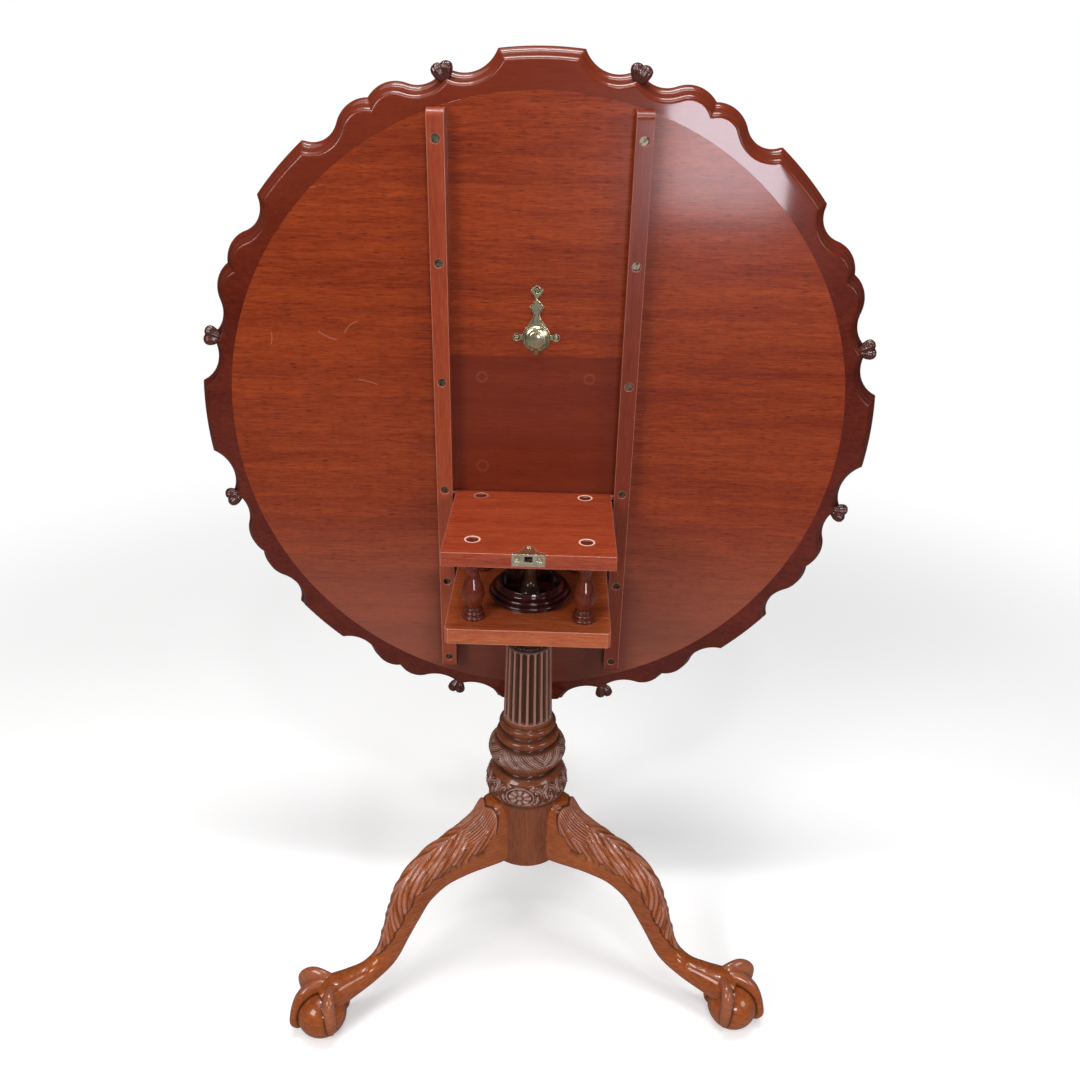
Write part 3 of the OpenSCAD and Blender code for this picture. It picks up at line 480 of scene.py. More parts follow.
def tube(path, radii, around, rib, ribs):
    """A ribbed tube of changing radius along a path in a level plane, closed at both ends."""
    p = np.asarray(path, float)
    r = np.asarray(radii, float)
    d = np.gradient(p, axis=0)
    d /= np.linalg.norm(d, axis=1)[:, None]
    b = np.cross(d, (0.0, 0.0, 1.0))
    b /= np.linalg.norm(b, axis=1)[:, None]
    a = np.cross(b, d)
    t = np.linspace(0, 2 * np.pi, around, endpoint=False)
    w = 1 + rib * np.abs(np.cos(ribs * t / 2))
    ring = (a[:, None] * (np.cos(t) * w)[None, :, None] * r[:, None, None]
            + b[:, None] * (np.sin(t) * w)[None, :, None] * r[:, None, None])
    n, m = len(p), around
    pts = np.concatenate([(p[:, None] + ring).reshape(-1, 3), p[:1], p[-1:]])
    faces = grid_faces(n, m, wrap_m=True).tolist()
    for j in range(m):
        faces.append([n * m, (j + 1) % m, j])
        faces.append([n * m + 1, (n - 1) * m + j, (n - 1) * m + (j + 1) % m])
    return pts, faces


# ---------------------------------------------------------------- scalloped rim

# the outline repeats every 90 degrees and is the same to both sides of each tongue:
# a tongue, a cove, a tongue, a cove, a pair of lobes and a last cove, up to 45 degrees
RIM_W, LOBE_DROP, LOBE_R = 43.0, 0.8, 40.0
TONGUE_R = PANEL_R + RIM_W
LOBE_C = TONGUE_R - LOBE_DROP - LOBE_R
LOBE1_A, LOBE2_A = 24.6, 30.0


def tangent_r(cove_a, depth, lobe_a):
    """Radius of the cove that runs smoothly into a lobe."""
    side = LOBE_C * sind(lobe_a - cove_a)
    rise = TONGUE_R - depth - LOBE_C * cosd(lobe_a - cove_a)
    return (side * side + rise * rise - LOBE_R * LOBE_R) / (2 * (LOBE_R - rise))


# each cove's angle, its centre's distance from the middle, and its radius
COVES = [(cove_a, TONGUE_R - depth + r, r)
         for cove_a, depth, r in ((10.9, 19.0, 41.0),
                                  (18.0, 18.0, tangent_r(18.0, 18.0, LOBE1_A)),
                                  (35.9, 15.4, tangent_r(35.9, 15.4, LOBE2_A)))]


def crossings(a, c_a, c, r):
    """Distances at which a ray at angle a enters and leaves a circle, or None past it."""
    q = r * r - (c * sind(a - c_a)) ** 2
    if q <= 0:
        return None
    return c * cosd(a - c_a) - math.sqrt(q), c * cosd(a - c_a) + math.sqrt(q)


def ray_in(a, c_a, c, r):
    hit = crossings(a, c_a, c, r)
    return hit[0] if hit else 2 * TONGUE_R


def ray_out(a, c_a, c, r):
    hit = crossings(a, c_a, c, r)
    return hit[1] if hit else 0


def meet_a(lobe_a, cove, d):
    """Angle at which a lobe and its cove meet, d inside the outline."""
    lobe = unit(lobe_a) * LOBE_C
    v = unit(cove[0]) * cove[1] - lobe
    p = lobe + v / np.linalg.norm(v) * (LOBE_R - d)
    return math.degrees(math.atan2(p[1], p[0]))


MEETS = {}


def edge_r(a, d):
    """Distance from the middle of the top to its outline, d mm inside it, at angle a."""
    o = a % 90
    o = 90 - o if o > 45 else o
    if d not in MEETS:
        MEETS[d] = (meet_a(LOBE1_A, COVES[1], d), meet_a(LOBE2_A, COVES[2], d))
    first, last = MEETS[d]
    cove = [ray_in(o, c_a, c, r + d) for c_a, c, r in COVES]
    if o < first:
        return min(TONGUE_R - d, cove[0], cove[1])
    if o < last:
        return max(ray_out(o, lobe_a, LOBE_C, LOBE_R - d) for lobe_a in (LOBE1_A, LOBE2_A))
    return min(TONGUE_R - d, cove[2])


# the rim's section: how far inside the outline and how high above the underside
RIM_LINE = ([(21.0, 0.0), (15.4, 0.0), (13.6, 0.05), (12.7, 0.4), (12.1, 1.1), (11.8, 2.0)]
            + [(11.8 - 5.4 * t ** 0.6, 2.0 + 11.6 * t ** 1.25)
               for t in (0.15, 0.3, 0.45, 0.6, 0.75, 0.88, 1.0)]
            + [(5.9, 14.6), (5.1, 15.3), (3.9, 16.1), (2.4, 17.4), (1.2, 18.9), (0.4, 20.4),
               (0.05, 22.0), (0.2, 23.8), (0.9, 25.5), (2.1, 26.9), (3.9, 27.8), (5.9, 28.0),
               (7.8, 27.6), (9.6, 26.4), (11.4, 24.4), (13.2, 22.2), (15.4, 20.2), (18.0, 18.8),
               (21.0, 18.05)])
CORNERS = (6.4, 14.6, 27.3, 39.5)   # angles of the outline's sharp corners
RIM_JOINT = 5.0                     # how far past a tongue's middle a segment begins
RIM_STEP = 0.28                     # degrees between two sections of the rim


def segment_angles(k):
    """Angles of the sections of rim segment k, with one on each sharp corner."""
    first, start = k * 45.0, k * 45.0 + RIM_JOINT
    keys = [first + 45 - CORNERS[3 - i] if k % 2 else first + CORNERS[i] for i in range(4)]
    stops = [start] + keys + [start + 45]
    out = []
    for a, b in zip(stops[:-1], stops[1:]):
        n = math.ceil((b - a) / RIM_STEP)
        out += [a + (b - a) * j / n for j in range(n)]
    return out + [stops[-1]]


BUD_A, BUD_SPLAY, BUD_REACH, BUD_DROP, BUD_LEN, BUD_R = 15.0, 17.0, 26.0, 1.0, 25.0, 7.5
BUD_SWELL = ([0, 0.12, 0.28, 0.5, 0.72, 0.88, 0.97, 1.0],
             [0.05, 0.3, 0.62, 0.92, 1.0, 0.86, 0.5, 0.05])


def bud_pair(k):
    """The two ribbed buds on a cusp of rim segment k, in the top's own frame."""
    odd = k % 2 == 1
    turn = (k + 1) * 45 if odd else k * 45
    buds = Bodies()
    t = np.linspace(0, 1, 26)
    swell = np.interp(t, *BUD_SWELL)
    for lean in (-BUD_SPLAY, BUD_SPLAY):
        base = unit(BUD_A) * (TONGUE_R - BUD_REACH)
        xy = base[None] + unit(BUD_A + lean)[None] * (t * (BUD_LEN - 0.4))[:, None]
        if odd:
            xy[:, 1] *= -1
        x = xy[:, 0] * cosd(turn) - xy[:, 1] * sind(turn)
        y = xy[:, 0] * sind(turn) + xy[:, 1] * cosd(turn)
        z = np.full_like(x, -BUD_R - BUD_DROP)
        path = np.stack([x, y, z], -1)
        buds.add(*tube(path, swell * BUD_R * 0.87, around=60, rib=0.16, ribs=9))
    return buds


for k in range(8):
    rows = []
    for a in segment_angles(k):
        line = [(PANEL_R + 0.05, 0.0)] + [(edge_r(a, d), h) for d, h in RIM_LINE]
        line.append((PANEL_R + 0.05, 18.0))
        rows.append([(r * cosd(a), r * sind(a), -h) for r, h in line])
    n, m = len(rows), len(rows[0])
    piece(f"rim_{k + 1}", on_top(np.array(rows).reshape(-1, 3)),
          grid_faces(n, m, wrap_m=True).tolist() + end_caps(n, m), "top",
          [f"rim_segment_{k + 1}"], M_RIM, sharp=32)
    buds = bud_pair(k)
    piece(f"buds_{k + 1}", on_top(buds.all_points()), buds.faces, "top", [],
          M_LEAF, sharp=None)

# ---------------------------------------------------------------- pillar

PEDESTAL_R, CUP_R, CUSHION_R, SHAFT_R, SHAFT_TOP_R = 54.0, 58.0, 53.5, 33.0, 30.0
CUP_FOOT, WAIST_H, CUSHION_MID, RING2_H, RING1_H = 297.0, 341.0, 363.0, 388.0, 406.0
FLUTE_FOOT, SHAFT_TOP = 419.0, 531.0
SPINDLE_R, PIVOT_R = 19.0, 10.0
FLUTES, FLUTE_R = 20, 3.5
FLUTE_INSET = 4.0       # from the shaft's ends to the middle of a flute's round end
CARVE_UP, CARVE_IN = 3.2, 2.4       # height of a carved ridge, and depth below the turning
FRONT_AZ = -98.0        # where the carving's middle stands, degrees
STEPS = 720


def bead(r, z, half):
    return arc(r - half, z, half, -78, 78, 13)


def pillar_profile():
    """Radius and height from the foot of the pillar to the end of its pivot."""
    line = [(0, FOOT_Z), (PEDESTAL_R - 0.6, FOOT_Z), (PEDESTAL_R, FOOT_Z + 0.6),
            (PEDESTAL_R, CUP_FOOT - 6), (PEDESTAL_R, CUP_FOOT - 1)]
    line += [(PEDESTAL_R, z) for z in np.arange(FOOT_Z + 6, CUP_FOOT - 7, 6)]
    line.sort(key=lambda q: (q[1], q[0]))
    line += [(CUP_R - 3.5 + 3.5 * math.sin(min(math.pi / 2, 2 * math.pi * t))
              - (CUP_R - 44) * t ** 3, CUP_FOOT + t * 39) for t in np.linspace(0, 1, 60)]
    line += [(41.5, WAIST_H - 4.2), (40.0, WAIST_H - 3.2), (39.4, WAIST_H),
             (39.8, WAIST_H + 2.5), (41, WAIST_H + 4)]
    line += arc(CUSHION_R - 13, CUSHION_MID, 13, -72, 76, 48, rz=16)
    line += [(CUSHION_R - 13.5, CUSHION_MID + 17)]
    line += bead(SHAFT_R + 10, RING2_H, 6.2)
    line += [(SHAFT_R + 2, RING2_H + 7.4), (SHAFT_R + 0.6, RING2_H + 9.4),
             (SHAFT_R + 2, RING1_H - 6)]
    line += bead(SHAFT_R + 6, RING1_H, 5)
    line += [(SHAFT_R + 1.6, RING1_H + 6), (SHAFT_R + 0.4, RING1_H + 9),
             (SHAFT_R, FLUTE_FOOT - 1)]
    heights = np.concatenate([np.arange(FLUTE_FOOT, FLUTE_FOOT + 9, 0.6),
                              np.linspace(FLUTE_FOOT + 9, SHAFT_TOP - 9, 14),
                              np.arange(SHAFT_TOP - 9, SHAFT_TOP, 0.6)])
    for z in sorted(set(heights.tolist())):
        f = (z - FLUTE_FOOT) / (SHAFT_TOP - FLUTE_FOOT)
        line.append((SHAFT_R + (SHAFT_TOP_R - SHAFT_R) * f, z))
    line += [(SHAFT_TOP_R, SHAFT_TOP), (SHAFT_TOP_R - 4.5, SHAFT_TOP),
             (SPINDLE_R + 3.5, SHAFT_TOP - 3)]
    line += [(SPINDLE_R + 3 + 8 * t * t, SHAFT_TOP + 4 + t * (SHOULDER - SHAFT_TOP - 12))
             for t in np.linspace(0, 1, 12)]
    return line + [(SPINDLE_R + 11, SHOULDER), (SPINDLE_R, SHOULDER), (SPINDLE_R, WELL_Z + 2),
                   (PIVOT_R, WELL_Z + 6), (PIVOT_R - 2.4, WELL_Z + 16),
                   (PIVOT_R - 3, UPPER_BOTTOM - 12), (PIVOT_R - 1, UPPER_BOTTOM - 4),
                   (PIVOT_R - 1, UPPER_BOTTOM + 12), (0, UPPER_BOTTOM + 12)]


def veins(u, v, step):
    """Rounded ridges with sharp valleys, 0 in a valley and 1 on a ridge."""
    return np.abs(np.sin(np.pi * ((u / step + v) % 1.0))) ** 0.7


SHOULDER = LOWER_BOTTOM - GAP
WELL_Z = LOWER_TOP + 9.4        # floor inside the collar
profile = pillar_profile()
pts = lathe(profile, STEPS)
az = np.degrees(np.linspace(0, 2 * np.pi, STEPS, endpoint=False))[:, None]
prof = np.array(profile)
pr, pz = prof[None, :, 0], prof[None, :, 1]
# flutes, round at both ends, with painted shade in them and a painted highlight on the fillets
# between
pitch = 360 / FLUTES
off = np.abs((az - BASE_TURN - 5 + pitch / 2) % pitch - pitch / 2) * math.pi / 180 * pr
dz = np.maximum(np.maximum(FLUTE_FOOT + FLUTE_INSET - pz, pz - SHAFT_TOP + FLUTE_INSET), 0)
in_shaft = (pz > FLUTE_FOOT - 0.5) & (pz < SHAFT_TOP + 0.1)
cut = np.sqrt(np.maximum(FLUTE_R ** 2 - off ** 2 - dz ** 2, 0)) * in_shaft
shade_and_grime = np.clip(cut / FLUTE_R * 1.2 - 0.25, 0, 1)
fillet_highlight = in_shaft * np.clip(1 - cut / 0.5, 0, 1) * 0.6
# carved leaves on the upper half of the cushion, leaning to either side in turn
front = wrap(az - FRONT_AZ)
arc_mm = np.radians(front) * 50
on_cushion = (smooth(pz, CUSHION_MID - 3.5, CUSHION_MID - 1.5)
              * smooth(pz, CUSHION_MID + 15.8, CUSHION_MID + 13.5) * (pr > 40.3))
spray = (np.abs(front) % 36) - 18
lean = np.where((np.floor(np.abs(front) / 36) % 2) == 0, 1.0, -1.0)
slant = arc_mm + lean * 1.25 * (pz - CUSHION_MID)
leaf = ((0.15 + 0.85 * veins(slant, 0.12 * np.sin(spray / 5), 4.4))
        * (0.45 + 0.55 * veins(slant, 0.0, 17.6)))
# painted shade in the valleys between the leaves, and lightly over the whole carved band
shade_and_grime = np.maximum(shade_and_grime, on_cushion * np.clip(1.35 - 1.9 * leaf, 0.12, 1))
# carved foliage on the cup with an oval rosette at the front
low_edge = CUP_FOOT + 4 + 1.5 * np.abs(np.sin(np.radians(front) * 12))
on_cup = (smooth(pz, low_edge - 0.8, low_edge + 0.8)
          * smooth(pz, CUP_FOOT + 33, CUP_FOOT + 30) * (pr > 44))
cup_u = np.radians(front) * 56
cup_w = pz - CUP_FOOT - 17
curl_u = (np.abs(cup_u) + 11) % 22 - 11
curl = np.hypot(curl_u, cup_w - 3 * np.sign(curl_u))
cup_turn = np.arctan2(cup_w, curl_u)
fronds = 0.5 + 0.5 * np.cos(cup_turn * 3 + curl * 0.45)
scrolls = (0.15 + 0.85 * veins(curl + cup_turn * 1.35, 0.0, 3.5)) * (0.40 + 0.60 * fronds)
OVAL_W, OVAL_H = 19.5, 12.5
ov = np.hypot(cup_u / OVAL_W, cup_w / OVAL_H)
petal = np.abs(np.cos(np.arctan2(cup_w / OVAL_H, cup_u / OVAL_W) * 4)) ** 0.6
petal = petal * smooth(ov, 0.18, 0.4) * smooth(ov, 0.92, 0.74)
rose = np.where(ov < 0.2, 1.0 - ov, 0.15 + 0.85 * petal)
border = np.exp(-((ov - 1.0) / 0.08) ** 2)
scrolls = np.where(ov < 0.9, rose, np.maximum(scrolls * smooth(ov, 1.06, 1.2), border))
# painted shade in the valleys of the cup's carving
shade_and_grime = np.maximum(shade_and_grime, on_cup * np.clip(1.2 - 2.0 * scrolls, 0.10, 1))
# painted shade in the gaps between the turnings, under the cage and on the spindle
for z, width in ((WAIST_H - 3, 2.4), (CUSHION_MID + 17, 1.6), (RING2_H + 8, 1.8),
                 (RING1_H + 6.5, 1.2), (RING2_H - 7, 1.5), (CUP_FOOT - 0.5, 1.0)):
    shade_and_grime = np.maximum(shade_and_grime, np.exp(-((pz - z) / width) ** 2) * 0.9)
shade_and_grime = np.maximum(shade_and_grime, (pz > SHAFT_TOP - 1) * 0.9)
shade_and_grime = np.where(pz > LOWER_TOP, np.where(pz > WELL_Z + 14, 0.8, 1.0), shade_and_grime)
rad = (pr - cut + on_cushion * (leaf * CARVE_UP - CARVE_IN)
       + on_cup * (scrolls * CARVE_UP - CARVE_IN))
pts[..., 0] = rad * np.cos(np.radians(az))
pts[..., 1] = rad * np.sin(np.radians(az))
# painted highlights on the carved crests and on the fillets between the flutes
crest_highlight = np.maximum(on_cushion * np.clip((leaf - 0.45) * 2.2, 0, 1),
                   on_cup * np.clip((scrolls - 0.5) * 2.2, 0, 1))
crest_highlight = np.maximum(crest_highlight, fillet_highlight)
piece("pillar_turned", pts.reshape(-1, 3), grid_faces(STEPS, len(profile), wrap_n=True), "base",
      ["pillar"], M_PILLAR, sharp=None, shade_and_grime=shade_and_grime.ravel(), ridge=crest_highlight.ravel())

# ---------------------------------------------------------------- collar and balusters

COLLAR_R, COLLAR_RIM_R, COLLAR_H, COLLAR_FOOT = 53.0, 41.0, 23.5, 4.6
COLLAR_STEPS, BAL_STEPS = 180, 96
step = (COLLAR_R - COLLAR_RIM_R) / 3
foot = COLLAR_FOOT + 0.2
ring = ([(SPINDLE_R + 0.3, 0), (COLLAR_R - 6, 0), (COLLAR_R - 6, COLLAR_FOOT),
         (COLLAR_R - 2, foot)]
        + arc(COLLAR_R - 2, foot + 2.2, 2, -80, 80, 12)
        + [(COLLAR_R - 3.2, foot + 4.5), (COLLAR_R - step, foot + 4.6)]
        + arc(COLLAR_R - step - 2.4, foot + 7.6, 3, -62, 70, 12)
        + [(COLLAR_RIM_R + 3.6, foot + 10.7), (COLLAR_RIM_R + 1.6, foot + 11.4),
           (COLLAR_RIM_R + 0.7, foot + 13), (COLLAR_RIM_R + 0.6, COLLAR_H - 2.6)]
        + arc(COLLAR_RIM_R - 1.6, COLLAR_H - 1.6, 1.6, 0, 180, 12)
        + [(COLLAR_RIM_R - 7, 9), (SPINDLE_R + 0.3, 9)])
ring = [(r, z + LOWER_TOP + GAP) for r, z in ring]
piece("collar_turned", lathe(ring, COLLAR_STEPS).reshape(-1, 3),
      grid_faces(COLLAR_STEPS, len(ring), wrap_n=True, wrap_m=True), "base", ["collar"],
      M_COLLAR, sharp=50)

BAL_R, TENON_R, TENON_L = 15.0, 7.5, 17.6
DRAWN_H = 87.4          # height of the baluster that the vase was drawn for
hb = UPPER_BOTTOM - LOWER_TOP - 2 * GAP
VASE = [(0.6, 16), (0.66, 18), (0.72, 20), (0.80, 23.5), (0.86, 27), (0.905, 30.5),
        (0.925, 34), (0.915, 37.5), (0.87, 41), (0.79, 45), (0.7, 49), (0.61, 52.5),
        (0.54, 56), (0.495, 59), (0.485, 61), (0.5, 63), (0.53, 65), (0.58, 66.8), (0.64, 68)]


def neck(r, z, half=0.2, rise=0.5):
    """Three points of a narrow groove between two beads."""
    return [(r + half, z - rise), (r, z), (r + half, z + rise)]


turned = ([(0, 0), (BAL_R - 1.8, 0)] + arc(BAL_R - 2.9, 2.6, 2.4, -70, 70, 10)
          + neck(BAL_R - 3.6, 5.8) + arc(BAL_R - 4.4, 8.4, 2.2, -70, 70, 10)
          + neck(BAL_R - 5.2, 11.4, rise=0.4) + arc(BAL_R - 6, 13.6, 1.8, -70, 70, 10, rz=1.6)
          + [(BAL_R * f, z * hb / DRAWN_H) for f, z in VASE]
          + [(BAL_R * 0.72, hb - 16.4), (BAL_R * 0.74, hb - 15.3), (BAL_R * 0.72, hb - 14.4),
             (BAL_R * 0.6, hb - 13.4), (BAL_R * 0.6, hb - 7)]
          + arc(BAL_R * 0.68, hb - 3.4, 2.2, -70, 70, 10)
          + [(BAL_R * 0.66, hb), (TENON_R, hb), (TENON_R, hb + TENON_L - 0.3),
             (TENON_R - 0.5, hb + TENON_L), (0, hb + TENON_L)])
GROOVES = (5.8, 11.4, 15.2, hb - 14.0, hb - 6)
# painted shade in the grooves and under the foot of each baluster
hollow = [0.8 if z < 1 or any(abs(z - q) < 0.8 for q in GROOVES) else 0.0 for _r, z in turned]
for name in ("front_left", "front_right", "back_left", "back_right"):
    lo, hi = mm_box("baluster_" + name)
    p = lathe([(r, z + LOWER_TOP + GAP) for r, z in turned], BAL_STEPS).reshape(-1, 3)
    piece("turned_" + name, p + ((lo[0] + hi[0]) / 2, (lo[1] + hi[1]) / 2, 0),
          grid_faces(BAL_STEPS, len(turned), wrap_n=True), "cage", ["baluster_" + name],
          M_TURNED, sharp=50, shade_and_grime=np.tile(hollow, BAL_STEPS))

# ---------------------------------------------------------------- legs

FOOT_OUT, BALL_R, BALL_FLAT, LEG_W, ROOT_H = 332.0, 34.0, 1.0, 46.0, 108.0
BALL_Z = BALL_R - BALL_FLAT
# out from the axis, up, height and width of the section, slope in degrees
STATIONS = np.array([
    [PEDESTAL_R - 8, FOOT_Z + 51, ROOT_H - 2, LEG_W + 7, 0],
    [PEDESTAL_R + 8, FOOT_Z + 48, ROOT_H - 8, LEG_W + 7, -3],
    [PEDESTAL_R + 20, FOOT_Z + 40, ROOT_H - 24, LEG_W + 5, -6],
    [PEDESTAL_R + 34, FOOT_Z + 36, ROOT_H - 32, LEG_W + 3, -9],
    [PEDESTAL_R + 62, FOOT_Z + 31, 66, LEG_W, -12],
    [PEDESTAL_R + 98, FOOT_Z + 21, 58, LEG_W - 2, -25],
    [PEDESTAL_R + 129, FOOT_Z - 3, 52, LEG_W - 4, -48],
    [PEDESTAL_R + 147, FOOT_Z - 36, 45, LEG_W - 8, -62],
    [PEDESTAL_R + 161, FOOT_Z - 68, 37, LEG_W - 13, -66],
    [FOOT_OUT - 100, BALL_Z + 54, 32, LEG_W - 17, -50],
    [FOOT_OUT - 75, BALL_Z + 37, 31, LEG_W - 17, -22],
    [FOOT_OUT - 47, BALL_Z + 32, 38, LEG_W - 11, -8],
    [FOOT_OUT - 19, BALL_Z + 30, 44, LEG_W - 3, -6],
    [FOOT_OUT - 4, BALL_Z + 25, 36, LEG_W - 12, -20]])


LEG_AROUND = 256
LEAF_LEN = 268.0        # length of the carving along the leg
LEAF_HALF = ([0, 22, 40, 70, 110, 150, 185, 215, 245, LEAF_LEN],
             [30, 47, 52, 50, 42, 33, 27, 19, 10, 0])


def leg_at(u):
    """The leg's section between stations, u counted in stations."""
    last = len(STATIONS) - 1
    i = min(last - 1, int(u))
    return spline([STATIONS[max(0, min(last, j))] for j in (i - 1, i, i + 1, i + 2)], u - i)


def leg_carving(run, v):
    """Carving run mm down the leg and v mm round it: push outward, painted shade in the hollows and
    a painted highlight on the ridges.
    """
    lobe = abs(math.sin(math.pi * run / 30.0)) ** 0.6
    w = np.interp(run, *LEAF_HALF) * (0.80 + 0.20 * lobe)
    lip = 16.0 + 0.012 * (v - 24) ** 2
    here = smooth(run - lip, 0, 2.5) * (run < LEAF_LEN)
    m = smooth(v, w + 0.8, w - 0.8) * here
    # a comb of fine lines at the root, then broad leaflets that fan out from the middle rib
    fan = (v * 0.95 - run * 0.42) / 8.6 + 0.55 * math.sin(run / 21.0)
    broad = np.abs(np.sin(np.pi * fan)) ** 0.65
    fine = np.abs(np.sin(np.pi * 3 * fan)) ** 0.7
    comb = np.abs(np.sin(np.pi * (v / 3.9 + 0.25 * math.sin(run / 11.0)))) ** 0.7
    near = smooth(run, 70, 46) * smooth(v, 34, 27)
    h = near * comb + (1 - near) * (0.78 * broad + 0.22 * fine)
    leaflet = np.abs(np.sin(np.pi * (run * 0.92 - v * 0.9) / 31.0)) ** 0.45
    rib = np.exp(-(v / 1.9) ** 2) * (1 - near)
    h = (0.22 + 0.78 * h) * (0.45 + 0.55 * np.maximum(leaflet, near)) * (1 - rib) + rib
    edge = np.exp(-((v - w) / 1.3) ** 2) * here
    scroll = np.exp(-((run - lip) / 1.5) ** 2) * smooth(v, 50, 44)
    shade = np.exp(-((run - lip + 3.2) / 1.6) ** 2) * smooth(v, 52, 46)
    push = m * (3.6 * h - 2.2) - 1.3 * edge + 1.6 * scroll - 1.2 * shade
    hollow = np.clip(np.maximum(m * (1.25 - 2.1 * h), 0.9 * np.maximum(edge, shade)), 0, 1)
    return push, hollow, np.maximum(m * np.clip((h - 0.66) * 3.2, 0, 1), 0.7 * scroll)


def leg_mesh():
    """Leg along +X with carved leaves on its upper side: points, faces, painted shade in the
    hollows, painted highlights on the ridges.
    """
    last = len(STATIONS) - 1
    th = (np.arange(LEG_AROUND) + 0.5) * 2 * np.pi / LEG_AROUND
    c, e = np.cos(th), np.sin(th)
    rows, hollows, highlights = [], [], []
    run, before = 0.0, leg_at(0)[:2]
    for u in np.concatenate([np.linspace(0, 10, 340), np.linspace(10, last, 80)[1:]]):
        s = leg_at(u)
        d = unit(s[4])
        run += np.linalg.norm(s[:2] - before)
        before = s[:2]
        lean = min(1, u / 10)
        power = np.where(e > 0, 3.6 - 1.4 * lean, 6 - 3.2 * lean)
        qx = np.sign(c) * np.abs(c) ** (2 / power) * s[3] / 2
        qy = np.sign(e) * np.abs(e) ** (2 / power) * s[2] / 2
        # distance round the section from the ridge
        seg = np.hypot(np.diff(qx, append=qx[0]), np.diff(qy, append=qy[0]))
        total = seg.sum()
        cum = np.concatenate([[0], np.cumsum(seg)[:-1]])
        top_i = LEG_AROUND // 4
        lat = cum - (cum[top_i] + cum[top_i - 1]) / 2
        push, hollow, ridge = leg_carving(run, np.abs((lat + total / 2) % total - total / 2))
        nx, ny = qx / (s[3] / 2) ** 2, qy / (s[2] / 2) ** 2
        nn = np.hypot(nx, ny)
        qx2, qy2 = qx + nx / nn * push, qy + ny / nn * push
        rows.append(np.stack([s[0] - d[1] * qy2, qx2, s[1] + d[0] * qy2], -1))
        hollows.append(hollow)
        highlights.append(ridge)
    n = len(rows)
    faces = grid_faces(n, LEG_AROUND, wrap_m=True).tolist() + end_caps(n, LEG_AROUND)
    return np.array(rows).reshape(-1, 3), faces, np.array(hollows).ravel(), np.array(highlights).ravel()


def toe_mesh(beads, side, n=52, around=32):
    """A toe on the ball. Each bead is a point of its outer ridge, from the ball's middle
    (out, across, up), and the toe's half width there."""
    b = np.array(beads, float)
    b[:, 1] *= side
    t = np.linspace(0, len(b) - 1, n)
    i = np.minimum(t.astype(int), len(b) - 2)
    p = spline([b[np.clip(i + j, 0, len(b) - 1)] for j in (-1, 0, 1, 2)], (t - i)[:, None])
    ridge, half = p[:, :3], np.maximum(p[:, 3], 0.5)
    out = np.linalg.norm(ridge, axis=1)
    e = ridge / out[:, None]
    s = np.cross(np.gradient(ridge, axis=0), e)
    s /= np.linalg.norm(s, axis=1)[:, None]
    low = np.minimum(BALL_R - 3.5, out - 1.0)
    a = np.linspace(0, 2 * np.pi, around, endpoint=False)
    ca = np.sign(np.cos(a)) * np.abs(np.cos(a)) ** 0.85
    sa = np.sign(np.sin(a)) * np.abs(np.sin(a)) ** 0.9
    mid, tall = (out + low) / 2, (out - low) / 2
    v = (e[:, None] * (mid[:, None] + tall[:, None] * sa[None])[:, :, None]
         + s[:, None] * (half[:, None] * ca[None])[:, :, None])
    return (v.reshape(-1, 3) + (FOOT_OUT, 0, BALL_Z),
            grid_faces(n, around, wrap_m=True).tolist() + end_caps(n, around))


NEAR_TOE = [(-26, 6, 46, 6.8), (-16, 12, 53, 7.4), (-9, 21, 54, 7.8), (-4, 30, 50, 8.2),
            (-1, 37, 41, 8.2), (0, 40.5, 29, 7.6), (0, 41.5, 15, 7.6), (0, 39.6, 2, 6.6),
            (0, 36.5, -8, 5), (0, 34.5, -12, 2.6)]
FAR_TOE = [(-28, 8, 46, 6.6), (-17, 16, 55, 6.6), (-6, 28, 57, 6.8), (4, 37, 52, 7),
           (11, 43, 42, 7), (11, 45, 30, 7), (8, 45, 17, 7.8), (5, 43, 3, 7), (3, 39, -8, 5),
           (2, 36.5, -13, 2.6)]
FRONT_TOE = [(-22, 4, 46, 8), (-8, 12, 50, 8.4), (6, 16, 47.5, 8.8), (18, 17, 42, 8.8),
             (28, 17, 33, 8.4), (35, 16, 21, 8), (40, 14, 8, 7.6), (43, 12, -4, 6.8),
             (41.5, 11, -12, 5.6), (37, 9.5, -18, 4), (33, 8.5, -20.5, 2)]
REAR_TOE = [(-30, 0, 30, 6), (-38, 0, 18, 6), (-41.5, 0, 4, 5.4), (-40, 0, -8, 4.6),
            (-36, 0, -15, 3.4), (-33, 0, -18, 2)]


def ball_mesh(n=72, m=96):
    th = np.linspace(0, np.pi, n)[:, None]
    ph = np.linspace(0, 2 * np.pi, m, endpoint=False)[None]
    x = FOOT_OUT + BALL_R * np.sin(th) * np.cos(ph)
    y = BALL_R * np.sin(th) * np.sin(ph)
    z = np.maximum(BALL_Z + BALL_R * np.cos(th) * np.ones((1, m)), 0.02)
    return np.stack([x, y, z], -1).reshape(-1, 3), grid_faces(n, m, wrap_m=True).tolist()


leg_points, leg_faces, leg_hollow, leg_highlight = leg_mesh()
